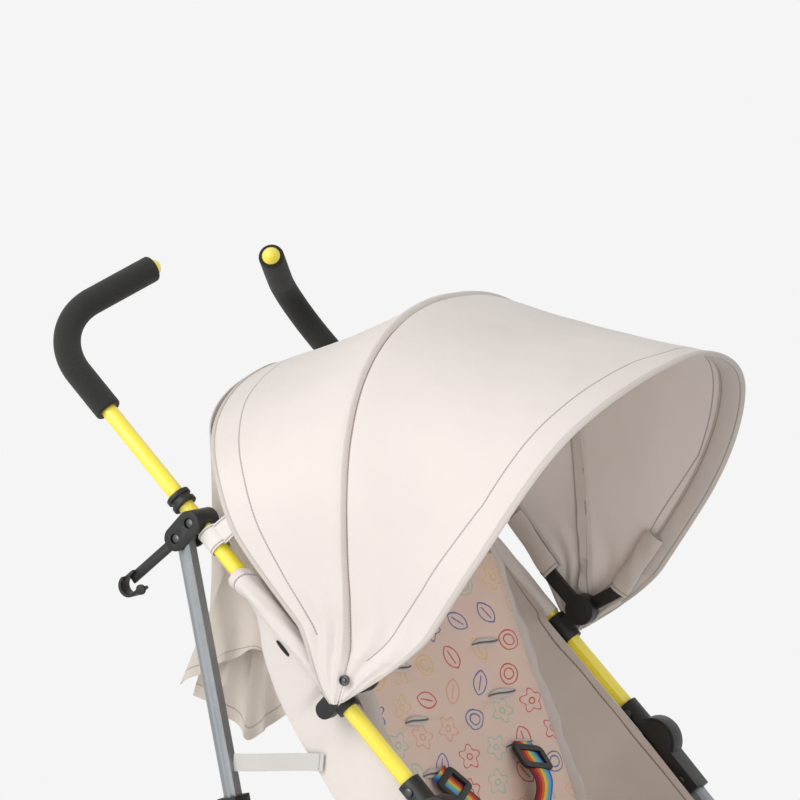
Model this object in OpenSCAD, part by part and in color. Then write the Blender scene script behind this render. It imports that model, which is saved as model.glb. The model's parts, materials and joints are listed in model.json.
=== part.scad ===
// Umbrella stroller: a folding frame on twin wheels, with a bucket seat and a hood.
// Millimetres. +Z is up, the front faces -Y, the child's right side is -X.

/* [Frame] */
// Distance between the two side frames, tube axis to tube axis
frame_span = 440; // [400:1:480]
// Distance of the hood clip point behind the middle of the part
clip_back = 58.5; // [40:0.5:90]
// Slope of the push tubes from the horizontal, degrees
push_slope = 44.2; // [40:0.1:50]
// Slope of the front legs from the horizontal, degrees
front_slope = 46; // [42:0.5:52]
// Lean of the rear legs from the vertical, degrees
leg_lean = 12.3; // [8:0.1:16]
// Radial play of a pin in its hole and of a tube in its socket
fit_gap = 0.05; // [0.02:0.01:0.1]

/* [Push tubes and grips] */
// Outer diameter of a push tube
tube_d = 16; // [14:0.5:22]
// Wall of a push tube
tube_wall = 1.5; // [1:0.1:2.5]
// Lower end of the tube, measured along it from the clip point
tube_low = -116; // [-130:1:-100]
// Start of the handle bend, measured along the tube from the clip point
bend_start = 432; // [400:1:460]
// Centre line radius of the handle bend
bend_radius = 60; // [45:1:80]
// Angle of the handle bend, degrees
bend_angle = 90; // [80:0.5:105]
// Turn of the handle from straight inward toward the front, degrees
handle_turn = 34; // [0:1:90]
// Straight length of the handle after the bend
handle_end = 74; // [50:1:100]
// Outer diameter of the foam grip
grip_d = 27; // [24:0.5:36]
// Lower end of the foam grip along the tube
grip_start = 382; // [360:1:410]
// Diameter of the domed end cap
cap_d = 18; // [16.5:0.5:24]
// Rise of the dome
cap_rise = 5; // [3:0.5:8]
// Length of the cap plug in the tube
cap_plug = 22; // [10:1:35]
// Place of the ring collar along the tube
collar_at = 265; // [256:1:300]
// Outer diameter of the collar flanges
collar_d = 25; // [22:0.5:30]
// Diameter between the two flanges
collar_neck_d = 21; // [19:0.5:24]
// Length of the collar
collar_len = 14; // [10:0.5:20]
// Length of one collar flange
collar_flange = 5; // [3:0.5:7]

/* [Upper hubs] */
// Place of the hub along the tube
hub_at = 238; // [220:1:250]
// Distance of the leg pivot below the tube axis
hub_drop = 22.3; // [20:0.1:28]
// Radius of the rounded hub outline
hub_radius = 12; // [11.5:0.5:16]
// Thickness of a hub plate
hub_plate = 5; // [4:0.5:7]
// Half width of the leg slot between the plates
hub_slot = 12.6; // [11:0.1:15]
// Depth of the hub block below the tube axis
hub_block_drop = 10.2; // [9.5:0.1:12]
// Diameter of the sunk rivet seats
rivet_seat_d = 10; // [8:0.5:12]
// Depth of the sunk rivet seats
rivet_seat_depth = 3; // [2:0.5:4]
// Diameter of a rivet shank
rivet_d = 5; // [4:0.5:6]
// Diameter of a rivet head
rivet_head_d = 8.4; // [7:0.1:9.5]
// Height of a rivet head
rivet_head = 1.6; // [1:0.1:2.5]

/* [Transport hook] */
// Length of the hook arm from the pivot
hook_len = 70; // [50:1:90]
// Width of the hook arm
hook_width = 10; // [8:0.5:14]
// Thickness of the hook arm
hook_thick = 3; // [2:0.1:3.4]
// Slope of the hook arm below the horizontal, degrees
hook_slope = 39; // [20:1:60]
// Outer radius of the hook
hook_radius = 11; // [9:0.5:15]
// Width of the hook across the arm
hook_depth = 12; // [6:0.5:16]

/* [Legs] */
// Width of the leg section across the stroller
leg_x = 18; // [16:0.5:22]
// Depth of the leg section along the stroller
leg_y = 14; // [12:0.5:18]
// Corner cut of the leg section
leg_cut = 3.5; // [2:0.5:5]
// Wall of the leg section
leg_wall = 1.6; // [1.2:0.1:2.5]
// Distance of the rear leg's end from the level of its axle, along the leg
rear_leg_gap = 68.7; // [60:0.1:80]
// Distance of the rear axle behind the leg axis
axle_back = 21; // [15:0.5:30]
// Start of the front leg below the knuckle centre
front_leg_top = 26; // [22:1:40]
// End of the front leg below the knuckle centre
front_leg_len = 467; // [440:1:490]

/* [Knuckles] */
// Place of the knuckle drum along the tube
knuckle_at = -136.6; // [-150:0.1:-125]
// Radius of the knuckle drum
knuckle_radius = 25; // [20:0.5:30]
// Half width of the knuckle drum
knuckle_half = 13; // [10:0.5:18]
// Edge rounding step of the drum
knuckle_step = 3; // [1:0.5:5]
// Outer diameter of the knuckle collar
knuckle_collar_d = 23; // [20:0.5:28]
// Upper end of the knuckle collar along the tube
knuckle_top = -88; // [-100:1:-80]
// Wall of plastic sockets round a leg
socket_wall = 3.5; // [2.5:0.5:6]
// Lower end of the knuckle socket along the front leg
knuckle_socket = 66; // [50:1:90]
// Place of the collar rivet along the tube
collar_rivet_at = -98; // [-105:1:-92]
// Place of the socket rivet along the front leg
socket_rivet_at = 50; // [40:1:60]

/* [Wheels] */
// Outer diameter of a wheel
wheel_d = 130; // [110:1:160]
// Width of one wheel
wheel_w = 19; // [15:0.5:26]
// Half distance between the wheels of a pair
pair_half = 10.5; // [8:0.5:16]
// Radial thickness of the tyre
tyre_t = 11; // [7:0.5:18]
// Rounding step of the tyre shoulders
tyre_round = 4; // [2:0.5:7]
// Radial thickness of the rim ring
rim_t = 6; // [4:0.5:10]
// Diameter of the wheel hub
wheel_hub_d = 26; // [20:0.5:36]
// Width of a spoke
spoke_w = 9; // [6:0.5:14]
// Thickness of a spoke
spoke_t = 9; // [5:0.5:14]
// Number of spokes
spokes = 5; // [4:1:8]
// Diameter of an axle
axle_d = 8; // [6:0.5:10]
// Overhang of an axle end past the wheel
axle_over = 1.5; // [0.5:0.5:4]

/* [Casters] */
// Distance of the front axle behind the swivel axis
caster_trail = 30; // [20:1:45]
// Distance of the swivel axis in front of the leg end
swivel_ahead = 6; // [0:1:15]
// Height of the underside of the caster socket
socket_low = 135; // [132:1:150]
// Height of the caster socket cylinder
socket_h = 52; // [40:1:70]
// Height of the front leg's end above the underside of the caster socket
leg_end_up = 45.8; // [40:0.1:55]
// Diameter of the caster socket cylinder
socket_d = 32; // [26:1:40]
// Length of the caster socket sleeve along the leg
socket_sleeve = 46; // [30:1:70]
// Gap between the fork head and the socket
swivel_gap = 0.6; // [0.3:0.1:2]
// Half width of the fork
fork_half = 9.8; // [7:0.1:10.2]
// Diameter of the axle boss
boss_d = 28; // [20:1:36]
// Diameter of the swivel pin
swivel_d = 9; // [7:0.5:12]
// Depth of the swivel pin in the socket
swivel_depth = 34; // [20:1:44]

/* [Rear housings and brakes] */
// Length of the housing sleeve up the rear leg
housing_sleeve = 52; // [40:1:70]
// Height of the housing web above the axle
housing_web = 66; // [50:1:75]
// Front edge of the housing web before the axle
housing_front = 21; // [15:1:30]
// Rear edge of the housing web behind the axle
housing_rear = 10; // [6:1:16]
// Place of the pedal pivot behind the axle
pedal_pivot_back = 20; // [15:1:30]
// Place of the pedal pivot above the axle
pedal_pivot_up = 76; // [74:1:90]
// Radius of the pedal eyes
pedal_eye_r = 7; // [5:0.5:9]
// Thickness of a pedal cheek
pedal_cheek = 4; // [3:0.5:6]
// Half width of the pedal pad
pedal_half = 24; // [18:1:32]
// Start of the pedal pad behind the axle
pedal_from = 34; // [30:1:45]
// End of the pedal pad behind the axle
pedal_to = 82; // [70:1:95]
// Thickness of the pedal pad
pedal_t = 5; // [4:0.5:8]

/* [Rear brace] */
// Slope of the brace bars when open, degrees
brace_slope = 33; // [28:0.5:38]
// Distance of the lower brace pivots above the end of the rear leg
brace_up = 80; // [66:1:110]
// Width of a brace bar
bar_width = 14; // [11:0.5:18]
// Thickness of a brace bar
bar_thick = 5; // [3:0.5:7]
// Distance of the first bar behind the leg axis
bar_back = 13; // [12:0.5:18]
// Gap between the two bars
bar_gap = 1; // [0.5:0.1:2]
// Diameter of the brace pins
brace_pin_d = 6; // [5:0.5:8]
// Diameter of the brace pin shoulders and heads
brace_head_d = 11; // [9:0.5:13]
// Thickness of a brace pin head
brace_head = 2; // [1.5:0.1:3]
// Height of a leg slider
slider_h = 44; // [30:1:60]

/* [Hood clips] */
// Place of the clip axis along the tube
clip_axis_at = 16; // [10:0.5:25]
// Distance of the clip axis in front of the tube axis
clip_axis_out = 32; // [26:0.5:40]
// Radius of the clip disc
clip_disc_r = 16; // [13:0.5:20]
// Inner face of the clip disc from the tube plane
clip_disc_in = 8.5; // [7:0.5:12]
// Length of the tube clamp
clamp_len = 30; // [20:1:40]
// Reach of the clamp fin behind the tube axis
clamp_fin = 16; // [12:0.5:22]
// Radius of the clamp fin
clamp_fin_r = 9; // [6:0.5:12]
// Outer diameter of the tube clamp
clamp_d = 23; // [20:0.5:28]
// Length of the rear arm
rear_arm_len = 58; // [45:1:75]
// Width of the hood arms
arm_width = 14; // [10:0.5:18]
// Thickness of the hood arms
arm_thick = 6.5; // [4:0.5:8]
// Length of the front arm
front_arm_len = 54; // [40:1:70]
// Direction of the front arm from the tube, degrees
front_arm_turn = 106.8; // [95:0.1:120]
// Diameter of the clip pin
clip_pin_d = 6; // [5:0.5:8]
// Place of the arm rivets along the arms
arm_rivet_at = 34; // [25:1:45]
// Diameter of the arm rivet eyelets
eyelet_d = 6; // [4:0.5:8]
// Raised height of the arm rivet eyelets
eyelet_h = 0.8; // [0.4:0.1:1.5]
// Step of the raised rings on the clip disc
ring_step = 1; // [0.5:0.1:2]

/* [Hood] */
// Angle of the rear edge from the level, degrees
hood_rear_angle = 48.6; // [44:0.1:56]
// Angle of the middle seam from the level, degrees
hood_mid_angle = 87; // [80:0.1:95]
// Angle of the front edge from the level, degrees
hood_front_angle = 124.2; // [115:0.1:132]
// Reach of the rear edge from the clip axis
hood_rear_reach = 350; // [330:1:370]
// Reach of the middle seam from the clip axis
hood_mid_reach = 352; // [330:1:370]
// Reach of the front edge from the clip axis
hood_front_reach = 380; // [350:1:400]
// Half width of the rear edge
hood_rear_half = 252; // [235:1:265]
// Half width of the middle seam
hood_mid_half = 239; // [230:1:255]
// Half width of the front edge
hood_front_half = 236; // [230:1:250]
// Half width of the hood at the clips
hood_foot_half = 233; // [230:1:240]
// Thickness of the hood cloth
cloth_t = 1.6; // [1:0.1:3]
// Depth of a hood bow under the cloth
bow_t = 3; // [2:0.5:5]

/* [Seat] */
// Recline of the seat back from the vertical, degrees
back_recline = 21.9; // [15:0.1:35]
// Length of the seat back
back_len = 372; // [340:1:400]
// Length of the seat base
base_len = 214; // [180:1:240]
// Rise of the seat base toward the front, degrees
base_rise = 9; // [0:0.5:15]
// Length of the front apron
apron_len = 110; // [80:1:150]
// Steepness of the apron, degrees
apron_drop = 80; // [60:1:90]
// Distance of the seat corner behind the middle of the part
seat_back_at = -14.5; // [-40:0.5:20]
// Drop of the seat corner below the hood clip point
seat_drop = 260; // [230:1:290]
// Half width of the seat panel
seat_half = 152; // [130:1:165]
// Half width between the seat hems
hem_half = 204; // [196:1:206]
// Upper end of the seat hems along the tube
hem_top = 112; // [100:1:140]
// Length of a seat hem along the tube and the front leg
hem_len = 452; // [420:1:480]
// Thickness of the seat cloth
seat_t = 2.4; // [1.5:0.1:4]
// Crown of the seat pad
pad_crown = 12; // [8:0.5:20]
// Thickness of the seat pad at its edge
pad_edge = 3; // [2:0.5:6]
// Depth of the seat pad channels
pad_channel = 4; // [2:0.5:8]
// Forward curl of the seat panel sides
panel_curl = 10; // [0:1:25]
// Lower end of the cloth sleeve along the tube
sleeve_from = 40; // [36:1:60]
// Upper end of the cloth sleeve along the tube
sleeve_to = 172; // [150:1:185]
// Outer diameter of the cloth sleeve
sleeve_d = 20; // [18:0.5:24]
// Half width between the rear edges of the seat sides
ear_half = 200; // [190:1:204]
// Distance of the rear edge behind the tube at the top of the sleeve
ear_top = 21; // [12:0.5:30]
// Greatest distance of the rear edge behind the tube
ear_low = 87; // [60:0.5:100]
// Place along the tube where the seat side ends
ear_end = -124; // [-126:1:-60]

/* [Harness] */
// Width of the harness webbing
web_w = 30; // [20:0.5:38]
// Thickness of the harness webbing
web_t = 1.8; // [1.2:0.1:3]
// Distance of the webbing above the seat cloth
web_lift = 16; // [14:0.5:26]
// Place of the shoulder slots below the top of the seat back
slot_at = 185; // [150:1:220]
// Half distance of the shoulder slots
slot_half = 84; // [60:1:100]
// Length of the buckle
buckle_len = 52; // [40:1:70]
// Width of the buckle
buckle_w = 62; // [50:1:80]
// Thickness of the buckle
buckle_t = 13; // [9:0.5:18]
// Length of a strap slider
glide_len = 31; // [18:0.5:40]
// Width of a strap slider
glide_w = 44; // [34:0.5:52]
// Thickness of a strap slider
glide_t = 4; // [3:0.5:6]

/* [Curtain, basket and bands] */
// Half width of the curtain behind the seat
curtain_half = 184; // [160:1:195]
// Drop of the curtain
curtain_drop = 178; // [120:1:220]
// Depth of the curtain folds
curtain_fold = 8; // [0:0.5:15]
// Distance of the curtain behind the hubs
curtain_back = 26; // [15:1:40]
// Half width of the basket rim
basket_half = 208.9; // [195:0.1:209]
// Rear edge of the basket rim
basket_rear = 112; // [90:1:130]
// Front edge of the basket rim
basket_front = -150; // [-200:1:-120]
// Drop of the basket rim below the seat corner
basket_drop = 52; // [40:1:80]
// Depth of the basket
basket_depth = 105; // [80:1:140]
// Narrowing of the basket toward its floor
basket_share = 0.86; // [0.7:0.01:1]
// Wall of the basket
basket_t = 2.5; // [1.5:0.1:4]
// Corner radius of the basket
basket_r = 40; // [20:1:60]
// Height of the basket side bands
basket_band = 18; // [12:1:30]
// Width of the footrest band
band_w = 46; // [30:1:60]
// Distance of the footrest band above the caster socket
band_clear = 4; // [2:0.5:40]
// Sag of the footrest band
band_sag = 12; // [0:1:30]
// Width of a seat side strap
side_strap_w = 21; // [12:0.5:28]

/* [Hidden] */
$fn = 48;
cut = 1;
half = frame_span / 2;
wheel_r = wheel_d / 2;
tube_bore = tube_d - 2 * tube_wall;
hub_out = hub_slot + hub_plate;
ct = cos(push_slope);
st = sin(push_slope);
cl = cos(leg_lean);
sl = sin(leg_lean);
cf = cos(front_slope);
sf = sin(front_slope);

clip_height = socket_low + leg_end_up + front_leg_len * sf - knuckle_at * st;
seat_height = clip_height - seat_drop;
basket_top = seat_height - basket_drop;
band_at = front_leg_len - socket_sleeve - band_clear - band_w / 2;

// A point s along the push tube and n in front of it
function along(s, n) = [0, clip_back + s * ct - n * st, clip_height + s * st + n * ct];
hinge = along(hub_at, -hub_drop);
knee = along(knuckle_at, 0);
function front_line(d) = knee + d * [0, -cf, -sf];
axle_drop = (hinge[2] - wheel_r - axle_back * sl) / cl;
rear_leg_len = axle_drop - rear_leg_gap;
brace_low = rear_leg_len - brace_up;
housing_top = rear_leg_len - housing_sleeve;
rear_axle = hinge + [0, axle_back * cl - axle_drop * sl, -axle_back * sl - axle_drop * cl];
leg_end = front_line(front_leg_len);
swivel_y = leg_end[1] - swivel_ahead;
front_axle = [0, swivel_y + caster_trail, wheel_r];
bar_run = frame_span / cos(brace_slope);
bar_rise = frame_span * tan(brace_slope);
slider_at = brace_low - bar_rise;
bar_b_back = bar_back + bar_thick + bar_gap;
clip_axis = along(clip_axis_at, clip_axis_out);

module on_tube(s) {
  translate([-half, 0, 0]) translate(along(s, 0)) rotate([push_slope - 90, 0, 0]) children();
}

module on_rear_leg(x) {
  translate([x, 0, 0]) translate(hinge) rotate([-leg_lean, 0, 0]) children();
}

module on_front_leg(x) {
  translate([x, 0, 0]) translate(knee) rotate([front_slope - 90, 0, 0]) children();
}

module other_side() {
  mirror([1, 0, 0]) children();
}

// A cylinder along X through the local origin
module x_rod(d, from, to) {
  translate([from, 0, 0]) rotate([0, 90, 0]) cylinder(d = d, h = to - from);
}

// A cylinder along Y through the local origin
module y_rod(d, from, to) {
  translate([0, from, 0]) rotate([-90, 0, 0]) cylinder(d = d, h = to - from);
}

// A block given by its two corners
module block(a, b) {
  translate(a) cube(b - a);
}

module leg_profile(grow) {
  a = leg_x / 2 + grow;
  b = leg_y / 2 + grow;
  polygon([[-a + leg_cut, -b], [a - leg_cut, -b], [a, -b + leg_cut], [a, b - leg_cut],
    [a - leg_cut, b], [-a + leg_cut, b], [-a, b - leg_cut], [-a, -b + leg_cut]]);
}

// The bent run of the handle at a given diameter
module handle_run(d, from, extra) {
  on_tube(0) rotate([0, 0, 180 - handle_turn]) {
    translate([0, 0, from]) cylinder(d = d, h = bend_start - from);
    translate([0, 0, bend_start]) {
      translate([-bend_radius, 0, 0]) rotate([90, 0, 0])
        rotate_extrude(angle = bend_angle) translate([bend_radius, 0]) circle(d = d);
      handle_tip() cylinder(d = d, h = handle_end + extra);
    }
  }
}

module handle_tip() {
  run = bend_radius * (1 - cos(bend_angle));
  translate([-run, 0, bend_radius * sin(bend_angle)]) rotate([0, -bend_angle, 0]) children();
}

module at_handle_tip() {
  on_tube(bend_start) rotate([0, 0, 180 - handle_turn]) handle_tip() children();
}

module push_tube() {
  color("gold") difference() {
    handle_run(tube_d, tube_low, 0);
    handle_run(tube_bore, tube_low - cut, cut);
    on_tube(hub_at) x_rod(rivet_d + 2 * fit_gap, -tube_d, tube_d);
    on_tube(collar_rivet_at) x_rod(rivet_d + 2 * fit_gap, -tube_d, tube_d);
  }
}

module grip() {
  color("dimgray") difference() {
    handle_run(grip_d, grip_start, cut);
    handle_run(tube_d + 2 * fit_gap, grip_start - cut, 2 * cut);
  }
}

module grip_cap() {
  dome_r = (cap_d * cap_d / 4 + cap_rise * cap_rise) / (2 * cap_rise);
  color("gold") at_handle_tip() translate([0, 0, handle_end + cut]) {
    translate([0, 0, -cap_plug]) cylinder(d = tube_bore - 2 * fit_gap, h = cap_plug + cut);
    intersection() {
      translate([0, 0, cap_rise - dome_r]) sphere(r = dome_r);
      cylinder(d = cap_d + cut, h = cap_rise + cut);
    }
  }
}

module tube_collar() {
  a = tube_d / 2 + fit_gap;
  color("black") on_tube(collar_at) translate([0, 0, -collar_len / 2]) rotate_extrude()
    polygon([[a, 0], [collar_d / 2, 0], [collar_d / 2, collar_flange], [collar_neck_d / 2, collar_flange],
      [collar_neck_d / 2, collar_len - collar_flange], [collar_d / 2, collar_len - collar_flange],
      [collar_d / 2, collar_len], [a, collar_len]]);
}

// Rounded hub outline as a plate between two X positions
module hub_plate_shape(from, to) {
  x_rod(2 * hub_radius, from, to);
  translate([0, hub_drop, 0]) x_rod(2 * hub_radius, from, to);
  block([from, 0, -hub_radius], [to, hub_drop, hub_radius]);
}

module upper_hub() {
  color("black") on_tube(hub_at) difference() {
    union() {
      hub_plate_shape(-hub_out, -hub_slot);
      hub_plate_shape(hub_slot, hub_out);
      difference() {
        x_rod(2 * hub_radius, -hub_slot - cut, hub_slot + cut);
        block([-hub_slot, hub_block_drop, -2 * hub_radius], [hub_slot, 2 * hub_radius, 2 * hub_radius]);
      }
    }
    translate([0, 0, -2 * hub_radius]) cylinder(d = tube_d + 2 * fit_gap, h = 4 * hub_radius);
    for (y = [0, hub_drop]) translate([0, y, 0]) {
      x_rod(rivet_d + 2 * fit_gap, -hub_out - cut, hub_out + cut);
      x_rod(rivet_seat_d, -hub_out - cut, -hub_out + rivet_seat_depth);
      x_rod(rivet_seat_d, hub_out - rivet_seat_depth, hub_out + cut);
    }
  }
}

// A rivet along X with a head on each end
module rivet(reach) {
  x_rod(rivet_d, -reach - cut, reach + cut);
  x_rod(rivet_head_d, -reach - rivet_head, -reach);
  x_rod(rivet_head_d, reach, reach + rivet_head);
}

module frame_rivets() {
  color("silver") {
    on_tube(hub_at) for (y = [0, hub_drop]) translate([0, y, 0]) rivet(hub_out - rivet_seat_depth);
    on_tube(collar_rivet_at) rivet(knuckle_collar_d / 2);
    on_front_leg(-half) translate([0, 0, -socket_rivet_at]) rivet(leg_x / 2 + socket_wall);
  }
}

module socket_block(from, to) {
  a = leg_x / 2 + socket_wall;
  b = leg_y / 2 + socket_wall;
  block([-a, -b, -to], [a, b, -from]);
}

module knuckle() {
  color("black") difference() {
    union() {
      on_tube(knuckle_at) cylinder(d = knuckle_collar_d, h = knuckle_top - knuckle_at);
      on_tube(knuckle_at) x_rod(2 * knuckle_radius - 2 * knuckle_step, -knuckle_half, knuckle_half);
      on_tube(knuckle_at) x_rod(2 * knuckle_radius, -knuckle_half + knuckle_step, knuckle_half - knuckle_step);
      on_front_leg(-half) socket_block(0, knuckle_socket);
    }
    on_tube(tube_low) cylinder(d = tube_d + 2 * fit_gap, h = knuckle_top - knuckle_at);
    on_tube(collar_rivet_at) x_rod(rivet_d + 2 * fit_gap, -knuckle_collar_d, knuckle_collar_d);
    on_front_leg(-half) translate([0, 0, -2 * knuckle_socket]) linear_extrude(2 * knuckle_socket - front_leg_top)
      leg_profile(fit_gap);
    on_front_leg(-half) translate([0, 0, -socket_rivet_at]) x_rod(rivet_d + 2 * fit_gap, -leg_x, leg_x);
  }
}

module front_leg() {
  color("slategray") on_front_leg(-half) difference() {
    translate([0, 0, -front_leg_len]) linear_extrude(front_leg_len - front_leg_top - fit_gap) leg_profile(0);
    translate([0, 0, -front_leg_len - cut]) linear_extrude(front_leg_len) leg_profile(-leg_wall);
    translate([0, 0, -socket_rivet_at]) x_rod(rivet_d + 2 * fit_gap, -leg_x, leg_x);
  }
}

module caster_socket() {
  color("black") difference() {
    union() {
      translate([-half, swivel_y, socket_low]) cylinder(d = socket_d, h = socket_h);
      on_front_leg(-half) socket_block(front_leg_len - socket_sleeve, front_leg_len + socket_wall);
    }
    on_front_leg(-half) translate([0, 0, -front_leg_len]) linear_extrude(socket_sleeve + cut)
      leg_profile(fit_gap);
    translate([-half, swivel_y, socket_low - cut])
      cylinder(d = swivel_d + 2 * fit_gap, h = swivel_depth + cut);
    translate([-half - socket_d, swivel_y - 2 * socket_d, 0]) cube([2 * socket_d, 4 * socket_d, socket_low]);
  }
}

module caster_fork() {
  head = socket_low - swivel_gap;
  color("black") difference() {
    union() {
      translate([-half, swivel_y, wheel_r + boss_d]) cylinder(d = 2 * fork_half, h = head - wheel_r - boss_d);
      translate([-half - fork_half, 0, 0]) rotate([90, 0, 90]) linear_extrude(2 * fork_half)
        polygon([[swivel_y - fork_half, head], [swivel_y + fork_half, head],
          [front_axle[1] + boss_d / 2, wheel_r], [front_axle[1] - boss_d / 2, wheel_r],
          [swivel_y - fork_half, wheel_r + boss_d]]);
      translate([-half, 0, 0]) translate(front_axle) x_rod(boss_d, -fork_half, fork_half);
    }
    translate([-half, 0, 0]) translate(front_axle) x_rod(axle_d + 2 * fit_gap, -wheel_w, wheel_w);
    translate([-half, swivel_y, head - swivel_depth]) cylinder(d = swivel_d + 2 * fit_gap, h = 2 * swivel_depth);
  }
}

module axle_pin(at) {
  reach = pair_half + wheel_w + axle_over;
  translate([-half, 0, 0]) translate(at) {
    x_rod(axle_d, -reach, reach);
    x_rod(axle_d + 2 * axle_over, -reach - axle_over, -reach + axle_over / 2);
    x_rod(axle_d + 2 * axle_over, reach - axle_over / 2, reach + axle_over);
  }
}

module caster_pins() {
  color("silver") {
    axle_pin(front_axle);
    translate([-half, swivel_y, socket_low - swivel_gap - swivel_depth + fit_gap])
      cylinder(d = swivel_d, h = 2 * swivel_depth);
  }
}

// One wheel of a pair between x = 0 and its width
module wheel() {
  seat_r = wheel_r - tyre_t;
  rotate([0, 90, 0]) difference() {
    union() {
      rotate_extrude($fn = 72) polygon([[seat_r - rim_t, tyre_round], [seat_r, tyre_round], [seat_r, 0],
        [wheel_r - tyre_round, 0], [wheel_r, tyre_round], [wheel_r, wheel_w - tyre_round],
        [wheel_r - tyre_round, wheel_w], [seat_r, wheel_w], [seat_r, wheel_w - tyre_round],
        [seat_r - rim_t, wheel_w - tyre_round]]);
      cylinder(d = wheel_hub_d, h = wheel_w);
      for (k = [0:spokes - 1]) rotate([0, 0, k * 360 / spokes])
        translate([0, -spoke_w / 2, (wheel_w - spoke_t) / 2]) cube([seat_r - rim_t / 2, spoke_w, spoke_t]);
    }
    translate([0, 0, -cut]) cylinder(d = axle_d + 2 * fit_gap, h = wheel_w + 2 * cut);
  }
}

module wheel_pair(at) {
  color("dimgray") translate([-half, 0, 0]) translate(at) {
    translate([pair_half, 0, 0]) wheel();
    mirror([1, 0, 0]) translate([pair_half, 0, 0]) wheel();
  }
}

module rear_leg() {
  color("slategray") on_rear_leg(-half) difference() {
    union() {
      translate([0, 0, -rear_leg_len]) linear_extrude(rear_leg_len) leg_profile(0);
      x_rod(leg_y, -leg_x / 2, leg_x / 2);
    }
    translate([0, 0, -rear_leg_len - cut]) linear_extrude(rear_leg_len - leg_y) leg_profile(-leg_wall);
    x_rod(rivet_d + 2 * fit_gap, -leg_x, leg_x);
    translate([0, 0, -brace_low]) y_rod(brace_pin_d + 2 * fit_gap, -leg_x, leg_x);
  }
}

module rear_housing() {
  ear = pedal_pivot_up + pedal_eye_r;
  color("black") difference() {
    union() {
      on_rear_leg(-half) socket_block(housing_top, rear_leg_len + socket_wall);
      translate([-half, 0, 0]) translate(rear_axle) {
        x_rod(boss_d, -fork_half, fork_half);
        block([-fork_half, -housing_front, 0], [fork_half, housing_rear, housing_web]);
        block([-fork_half, 0, housing_web / 2], [fork_half, pedal_pivot_back + pedal_eye_r, ear]);
      }
    }
    on_rear_leg(-half) translate([0, 0, -rear_leg_len]) linear_extrude(rear_leg_len) leg_profile(fit_gap);
    translate([-half, 0, 0]) translate(rear_axle) {
      x_rod(axle_d + 2 * fit_gap, -wheel_w, wheel_w);
      translate([0, pedal_pivot_back, pedal_pivot_up]) x_rod(rivet_d + 2 * fit_gap, -wheel_w, wheel_w);
    }
  }
}

// A headed brace pin along the local Y, its shoulder reaching the bar at a given distance
module brace_pin(from, bar_at) {
  y_rod(brace_head_d, from, bar_at - fit_gap);
  y_rod(brace_pin_d, from - cut, bar_at + bar_thick + cut);
  y_rod(brace_head_d, bar_at + bar_thick + fit_gap, bar_at + bar_thick + fit_gap + brace_head);
}

module rear_pins(bar_at) {
  cheek = fork_half + 2 * fit_gap + pedal_cheek;
  color("silver") {
    axle_pin(rear_axle);
    on_rear_leg(-half) translate([0, 0, -brace_low]) {
      brace_pin(leg_y / 2 + fit_gap, bar_at);
      y_rod(brace_pin_d, -leg_y / 2 - cut, leg_y);
      y_rod(brace_head_d, -leg_y / 2 - fit_gap - brace_head, -leg_y / 2 - fit_gap);
    }
    translate([-half, 0, 0]) translate(rear_axle) translate([0, pedal_pivot_back, pedal_pivot_up])
      x_rod(rivet_d, -cheek, cheek);
  }
}

module brake_pedal() {
  in = fork_half + 2 * fit_gap;
  out = in + pedal_cheek;
  top = pedal_pivot_up + pedal_eye_r;
  color("black") translate([-half, 0, 0]) translate(rear_axle) difference() {
    union() {
      block([-pedal_half, pedal_from, top - pedal_t], [pedal_half, pedal_to, top]);
      for (m = [0, 1]) mirror([m, 0, 0]) {
        translate([0, pedal_pivot_back, pedal_pivot_up]) x_rod(2 * pedal_eye_r, in, out);
        block([in, pedal_pivot_back, pedal_pivot_up], [out, pedal_to - pedal_t, top]);
      }
    }
    translate([0, pedal_pivot_back, pedal_pivot_up]) x_rod(rivet_d + 2 * fit_gap, -2 * out, 2 * out);
  }
}

// A brace bar rising from one leg to the other, lying behind the leg plane
module brace_bar(from_x, turn, back) {
  color("slategray") on_rear_leg(from_x) translate([0, back, -brace_low]) rotate([0, turn, 0]) difference() {
    union() {
      for (x = [0, bar_run]) translate([x, 0, 0]) y_rod(bar_width, 0, bar_thick);
      block([0, 0, -bar_width / 2], [bar_run, bar_thick, bar_width / 2]);
    }
    for (x = [0, bar_run / 2, bar_run]) translate([x, 0, 0])
      y_rod(brace_pin_d + 2 * fit_gap, -cut, bar_thick + cut);
  }
}

module brace_bar_a() {
  brace_bar(-half, -brace_slope, bar_back);
}

module brace_bar_b() {
  other_side() brace_bar(-half, -brace_slope, bar_b_back);
}

module brace_rivet() {
  color("silver") on_rear_leg(0) translate([0, 0, bar_rise / 2 - brace_low]) {
    y_rod(brace_pin_d, bar_back - cut, bar_b_back + bar_thick + cut);
    y_rod(brace_head_d, bar_back - fit_gap - brace_head, bar_back - fit_gap);
    y_rod(brace_head_d, bar_b_back + bar_thick + fit_gap, bar_b_back + bar_thick + fit_gap + brace_head);
  }
}

module leg_slider(bar_at) {
  color("black") on_rear_leg(-half) translate([0, 0, -slider_at]) union() {
    difference() {
      translate([0, 0, slider_h / 2]) socket_block(0, slider_h);
      translate([0, 0, -slider_h]) linear_extrude(2 * slider_h) leg_profile(fit_gap);
    }
    brace_pin(leg_y / 2 + socket_wall / 2, bar_at);
  }
}

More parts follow.
